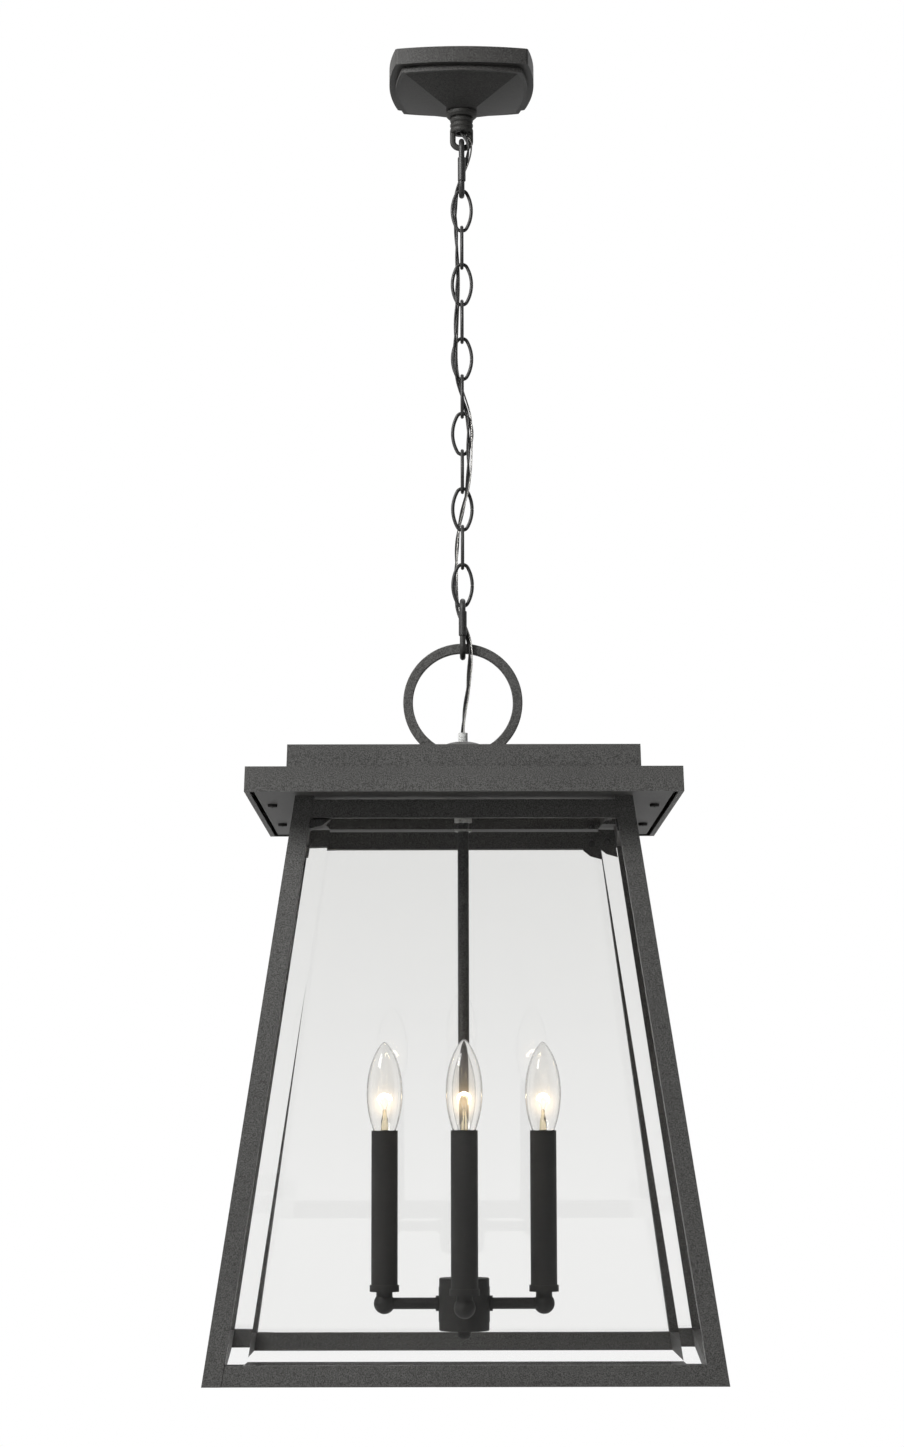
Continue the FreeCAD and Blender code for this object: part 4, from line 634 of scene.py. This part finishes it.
def makeCoil():
    clearSelection()
    bpy.ops.mesh.primitive_circle_add(vertices=coil["sides"], radius=coil["wire"] * mm,
                                      location=(coil["radius"] * mm, 0, 0),
                                      rotation=(math.pi / 2, 0, 0))
    piece = bpy.context.object
    piece.name = "filament"
    bpy.ops.object.transform_apply(location=True, rotation=True, scale=True)
    turns = piece.modifiers.new("turns", "SCREW")
    turns.axis = "Z"
    turns.screw_offset = coil["pitch"] * mm
    turns.iterations = coil["turns"]
    turns.steps = turns.render_steps = coil["steps"]
    bpy.ops.object.modifier_apply(modifier="turns")
    bpy.ops.object.mode_set(mode="EDIT")
    bpy.ops.mesh.select_all(action="SELECT")
    half = coil["turns"] * coil["pitch"] / 2
    bpy.ops.transform.translate(value=(0, 0, -half * mm))
    bpy.ops.mesh.select_all(action="DESELECT")
    bpy.ops.mesh.select_non_manifold()
    bpy.ops.mesh.fill()
    bpy.ops.mesh.select_all(action="SELECT")
    bpy.ops.mesh.normals_make_consistent(inside=False)
    bpy.ops.object.mode_set(mode="OBJECT")
    arch = piece.modifiers.new("arch", "SIMPLE_DEFORM")
    arch.deform_method = "BEND"
    arch.deform_axis = "Y"
    arch.angle = math.radians(coil["bend"])
    bpy.ops.object.modifier_apply(modifier="arch")
    piece.rotation_euler = (0, math.pi / 2, 0)
    bpy.ops.object.transform_apply(location=True, rotation=True, scale=True)
    low = min(vertex.co.z for vertex in piece.data.vertices)
    piece.location = (0, 0, coil["low"] * mm - low)
    bpy.ops.object.transform_apply(location=True, rotation=True, scale=True)
    bpy.ops.object.shade_smooth()
    piece.data.materials.append(finish["filament"])
    return piece


def fitBulbs():
    masters = [makeEnvelope(), makeStem(), makeSupports(), makeCoil()]
    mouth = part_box("candle_sleeves")[1].z
    for place, turn in bulbTurns.items():
        low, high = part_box(f"bulb_{place}_glass")
        seat = Matrix.Translation(((low.x + high.x) / 2, (low.y + high.y) / 2, mouth))
        seat = seat @ Matrix.Rotation(math.radians(turn), 4, "Z")
        for master in masters:
            piece = master.copy()
            piece.data = master.data.copy()
            piece.name = f"{place}_bulb_{master.name}"
            piece.data.transform(seat)
            scene.collection.objects.link(piece)
            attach(piece, f"{place}_bulb")
            if master.name == "envelope":
                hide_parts(f"bulb_{place}_glass")
    for master in masters:
        bpy.data.objects.remove(master)


fitBulbs()
print("bulbs fitted")


# studio

worldLight = 0.08
floorPaint = {"drop": 1.25, "radius": 8.0, "sides": 96, "colour": (0.84, 0.84, 0.83),
              "darker": 0.98, "grain": 30, "detail": 3, "roughness": 0.9, "gloss": 0.1,
              "clearFrom": 1.2, "clearTo": 4.0, "leastClear": 0.6}
lamps = [
    {"name": "keyLamp", "place": (-1.2, -1.1, 0.45), "size": 0.8, "power": 67, "mirrored": True},
    {"name": "frontLamp", "place": (-1.4, -4.0, -0.9), "size": 2.4, "power": 40, "mirrored": False},
    {"name": "topLamp", "place": (0.4, 1.6, 1.6), "size": 1.6, "power": 16, "mirrored": True},
    {"name": "backLamp", "place": (0.9, 3.0, -0.3), "size": 2.0, "power": 34, "mirrored": False},
]
candleLamp = {"power": 0.05, "radius": 0.003, "colour": (1.0, 0.66, 0.36)}
card = {"place": (0, -5.6, 0.6), "width": 24.0, "height": 18.0, "shade": 0.12,
        "lowShade": 0.95, "fade": (-0.166, -0.05)}


def seenDirectly(tree):  # 1 for a ray that shows the background, 0 for one that lights things
    path = addNode(tree, "LightPath")
    total = path.outputs["Is Camera Ray"]
    for kind in ("Is Glossy Ray", "Is Transmission Ray"):
        more = addNode(tree, "Math", operation="MAXIMUM")
        tree.links.new(total, more.inputs[0])
        tree.links.new(path.outputs[kind], more.inputs[1])
        total = more.outputs[0]
    fresh = addNode(tree, "Math", operation="LESS_THAN")  # no diffuse bounce so far
    fresh.inputs[1].default_value = 0.5
    tree.links.new(path.outputs["Diffuse Depth"], fresh.inputs[0])
    both = addNode(tree, "Math", operation="MULTIPLY")
    tree.links.new(total, both.inputs[0])
    tree.links.new(fresh.outputs[0], both.inputs[1])
    return both.outputs[0]


def makeWorld():
    world = bpy.data.worlds.new("studio")
    world.use_nodes = True
    tree = world.node_tree
    shown = tree.nodes["Background"]
    shown.inputs["Color"].default_value = white
    shown.inputs["Strength"].default_value = 1.0
    soft = addNode(tree, "Background", Color=white, Strength=worldLight)
    mix = addNode(tree, "MixShader")
    tree.links.new(seenDirectly(tree), mix.inputs[0])
    tree.links.new(soft.outputs[0], mix.inputs[1])
    tree.links.new(shown.outputs[0], mix.inputs[2])
    tree.links.new(mix.outputs[0], tree.nodes["World Output"].inputs["Surface"])
    scene.world = world


def makeFloor():
    clearSelection()
    level = cadBox[0].z - floorPaint["drop"]
    bpy.ops.mesh.primitive_circle_add(vertices=floorPaint["sides"], radius=floorPaint["radius"],
                                      fill_type="NGON", location=(0, 0, level))
    floor = bpy.context.object
    floor.name = "floor"
    material, tree, shader = newMaterial("floorPaint")
    speck = objectNoise(tree, floorPaint["grain"], floorPaint["detail"])
    tone = floorPaint["colour"]
    darkTone = tuple(floorPaint["darker"] * part for part in tone)
    tree.links.new(colourRamp(tree, speck, [(noiseLow, darkTone), (noiseHigh, tone)]),
                   shader.inputs["Base Color"])
    shader.inputs["Roughness"].default_value = floorPaint["roughness"]
    shader.inputs["Specular IOR Level"].default_value = floorPaint["gloss"]
    place = addNode(tree, "TexCoord")
    reach = addNode(tree, "VectorMath", operation="LENGTH")
    tree.links.new(place.outputs["Object"], reach.inputs[0])
    # the floor fades into the white background with distance
    far = spread(tree, reach.outputs["Value"], floorPaint["leastClear"], 1,
                 floorPaint["clearFrom"], floorPaint["clearTo"])
    share = addNode(tree, "Math", operation="MULTIPLY")
    tree.links.new(far, share.inputs[0])
    tree.links.new(seenDirectly(tree), share.inputs[1])
    paper = addNode(tree, "Emission", Color=white, Strength=1.0)
    mix = addNode(tree, "MixShader")
    tree.links.new(share.outputs[0], mix.inputs[0])
    tree.links.new(shader.outputs[0], mix.inputs[1])
    tree.links.new(paper.outputs[0], mix.inputs[2])
    tree.links.new(mix.outputs[0], tree.nodes["Material Output"].inputs["Surface"])
    floor.data.materials.append(material)


def makeCard():  # a grey card before the lantern, which only gloss and glass show
    clearSelection()
    bpy.ops.mesh.primitive_plane_add(size=1, location=card["place"], rotation=(math.pi / 2, 0, 0))
    flag = bpy.context.object
    flag.name = "greyCard"
    flag.scale = (card["width"], card["height"], 1)
    material, tree = newMaterial("greyCard")[:2]
    glow = addNode(tree, "Emission", Color=white)
    place = addNode(tree, "TexCoord")
    apart = addNode(tree, "SeparateXYZ")
    tree.links.new(place.outputs["Object"], apart.inputs[0])
    tree.links.new(spread(tree, apart.outputs["Y"], card["lowShade"], card["shade"], *card["fade"]),
                   glow.inputs["Strength"])
    tree.links.new(glow.outputs[0], tree.nodes["Material Output"].inputs["Surface"])
    flag.data.materials.append(material)
    flag.visible_camera = flag.visible_diffuse = flag.visible_shadow = False


def makeLamps():
    aim = (cadBox[0] + cadBox[1]) / 2
    for spec in lamps:
        light = bpy.data.lights.new(spec["name"], "AREA")
        light.energy = spec["power"]
        light.size = spec["size"]
        lamp = bpy.data.objects.new(spec["name"], light)
        lamp.location = spec["place"]
        lamp.visible_glossy = lamp.visible_transmission = spec["mirrored"]
        lamp.rotation_euler = (aim - Vector(spec["place"])).to_track_quat("-Z", "Y").to_euler()
        scene.collection.objects.link(lamp)
    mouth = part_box("candle_sleeves")[1].z
    for place in bulbPlaces:
        low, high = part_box(f"bulb_{place}_base")
        light = bpy.data.lights.new(f"{place}Candle", "POINT")
        light.energy = candleLamp["power"]
        light.shadow_soft_size = candleLamp["radius"]
        light.color = candleLamp["colour"]
        lamp = bpy.data.objects.new(f"{place}Candle", light)
        lamp.location = ((low.x + high.x) / 2, (low.y + high.y) / 2,
                         mouth + glowSpot["height"] * mm)
        lamp.visible_camera = lamp.visible_transmission = lamp.visible_glossy = False
        scene.collection.objects.link(lamp)


makeWorld()
makeFloor()
makeCard()
makeLamps()
scene.view_settings.view_transform = "Standard"
print("studio lit")
